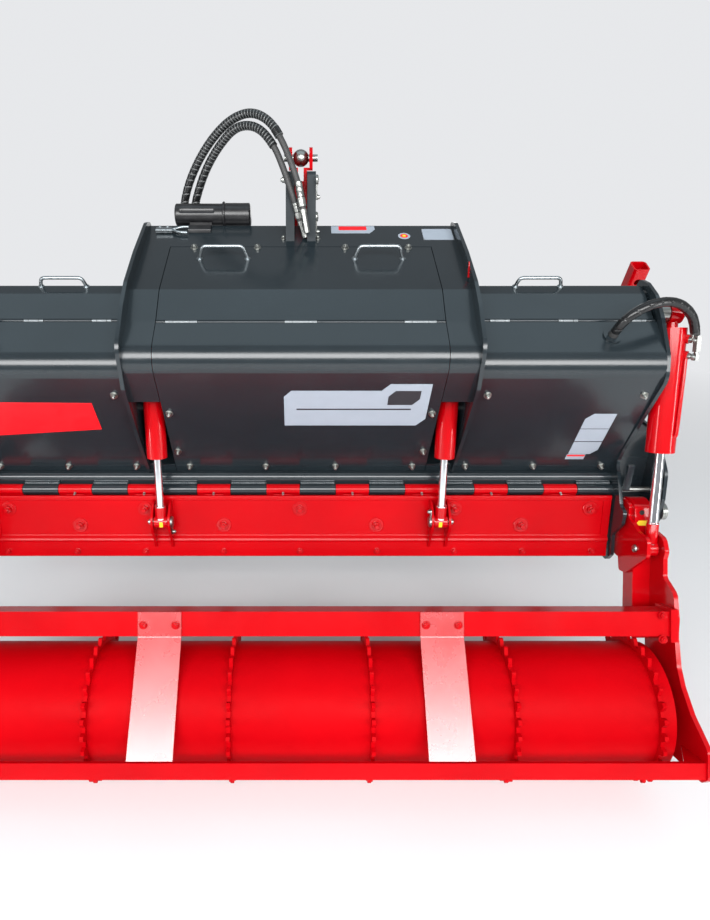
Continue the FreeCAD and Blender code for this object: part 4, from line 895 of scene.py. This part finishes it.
# A flat black disc: painted shade standing in for the dark inside of a hole in each arm.
hole = [turned([(0.0085, 0.0), (0.0085, 0.0006)], 24)]
tag = [plate([(-0.0086, -0.020), (0.0086, -0.020), (0.0086, 0.013), (0.0, 0.020),
              (-0.0086, 0.013)], 0, FOIL, 0.0002)]
pin_head = [turned([(0.0135, 0), (0.0135, 0.003), (0.0115, 0.0065), (0.0065, 0.009),
                    (0.002, 0.0098)])]
for word, s in SIDES:
    # Painted shade: the black disc where each arm has a hole.
    make("arm_hole_" + word, placed(hole, seat(at(s * 1179.5, 125.2, -5.9), ARM_FACE, ARM_UP)),
         black_gloss, "roller_frame")
    make("arm_label_" + word, placed(tag, seat(at(s * 1183, 137.1, -40.7), ARM_FACE, ARM_UP)),
         label_yellow, "roller_frame")
    make("lift_pin_head_" + word, placed(pin_head, seat(
        at(s * 1144.4, 195, -107), (-s, 0, 0), (0, 0, 1))), zinc, "roller_frame")
make("bay_tag", [along_x(side_outline([(-58, 757, 3), (-64, 806, 3), (-74, 806, 3),
                                       (-68, 757, 3)]), 541.2, 543.8)], red_gloss, "machine")
ring = [turned([(0.0275, -0.0006), (0.0290, 0.0014), (0.0275, 0.0020), (0.0265, 0.0004)], 40)]
grommet = [turned([(0.0205, -0.0004), (0.0215, 0.0024), (0.0190, 0.0044), (0.0165, 0.0030)],
                  32)]
for word, s in SIDES[::-1]:
    mouth, ahead = [at(s * x, b, z) for x, b, z in HOSE_SIDE[:2]]
    hole = seat(mouth, ahead - mouth)
    make("hose_grommet_" + word, placed(grommet, hole), black_gloss, "machine")
    make("hose_ring_" + word, placed(ring, hole), grey_matt, "machine")


# Camera, lights and floor -----------------------------------------------------------------
BACKDROP = (0.80, 0.81, 0.83, 1)
FLOOR_HALF = 14
FADE_FROM, FADE_TO = 2.2, 6.0           # the floor turns into the backdrop between these

camera = bpy.data.cameras.new("camera")
camera.sensor_width = 36
camera.lens = 25.43
camera.shift_x = 0.0589
camera.clip_end = 60
eye = bpy.data.objects.new("camera", camera)
bpy.context.scene.collection.objects.link(eye)
eye.location = (0, HINGE_Y - 2.104, HINGE_Z + 1.074)
eye.rotation_euler = (math.radians(66), 0, 0)
bpy.context.scene.camera = eye


def softbox(name, spot, target, size, power, colour=(1, 1, 1)):
    """A rectangular studio lamp at the spot, facing the target."""
    lamp = bpy.data.lights.new(name, "AREA")
    lamp.shape = "RECTANGLE"
    lamp.size, lamp.size_y = size
    lamp.energy = power
    lamp.color = colour
    box = bpy.data.objects.new(name, lamp)
    bpy.context.scene.collection.objects.link(box)
    away = np.array(spot, float) - target
    box.matrix_world = Matrix(seat(spot, away).tolist())
    return box


softbox("behind", (0, -5.4, 3.5), (0, -0.3, 1.3), (9.0, 1.75), 540)
softbox("behind_high", (0, -5.2, 4.8), (0, -0.5, 1.0), (9.0, 1.0), 170)
softbox("over", (0, -0.05, 4.6), (0, -0.2, 1.2), (7.0, 1.7), 26, (0.74, 0.95, 1.06))
for side in (-1, 1):
    softbox("edge", (side * 4.7, -2.9, 1.35), (side * 1.1, -0.3, 1.0), (0.45, 2.6), 55)
softbox("ahead", (0.5, 4.5, 2.2), (0, 0, 1.0), (4.0, 1.6), 35)

world = bpy.data.worlds.new("studio")
world.use_nodes = True
tree = world.node_tree
light = tree.nodes["Background"]
light.inputs["Color"].default_value = (0.78, 0.80, 0.83, 1)
light.inputs["Strength"].default_value = 0.42
pale = tree.nodes.new("ShaderNodeBackground")
pale.inputs["Color"].default_value = BACKDROP
ray = tree.nodes.new("ShaderNodeLightPath")
blend = tree.nodes.new("ShaderNodeMixShader")
tree.links.new(ray.outputs["Is Camera Ray"], blend.inputs["Fac"])
tree.links.new(light.outputs["Background"], blend.inputs[1])
tree.links.new(pale.outputs["Background"], blend.inputs[2])
tree.links.new(blend.outputs["Shader"], tree.nodes["World Output"].inputs["Surface"])
bpy.context.scene.world = world

ground = bpy.data.meshes.new("floor")
ground.from_pydata([(x * FLOOR_HALF, y * FLOOR_HALF, 0) for x, y in (
    (-1, -1), (1, -1), (1, 1), (-1, 1))], [], [(0, 1, 2, 3)])
floor = bpy.data.objects.new("floor", ground)
bpy.context.scene.collection.objects.link(floor)
material, tree, shader, place = new_material("floor_paint")
shader.inputs["Base Color"].default_value = (0.74, 0.75, 0.76, 1)
shader.inputs["Roughness"].default_value = 0.6
far = tree.nodes.new("ShaderNodeVectorMath")
far.operation = "LENGTH"
tree.links.new(place, far.inputs[0])
reach = tree.nodes.new("ShaderNodeMapRange")
reach.inputs["From Min"].default_value = FADE_FROM
reach.inputs["From Max"].default_value = FADE_TO
tree.links.new(far.outputs["Value"], reach.inputs["Value"])
seen = tree.nodes.new("ShaderNodeLightPath")
share = tree.nodes.new("ShaderNodeMath")
share.operation = "MULTIPLY"
tree.links.new(reach.outputs["Result"], share.inputs[0])
tree.links.new(seen.outputs["Is Camera Ray"], share.inputs[1])
backdrop = tree.nodes.new("ShaderNodeEmission")
backdrop.inputs["Color"].default_value = BACKDROP
blend = tree.nodes.new("ShaderNodeMixShader")
tree.links.new(share.outputs["Value"], blend.inputs["Fac"])
tree.links.new(shader.outputs["BSDF"], blend.inputs[1])
tree.links.new(backdrop.outputs["Emission"], blend.inputs[2])
tree.links.new(blend.outputs["Shader"], tree.nodes["Material Output"].inputs["Surface"])
ground.materials.append(material)

bpy.context.scene.view_settings.view_transform = "Standard"
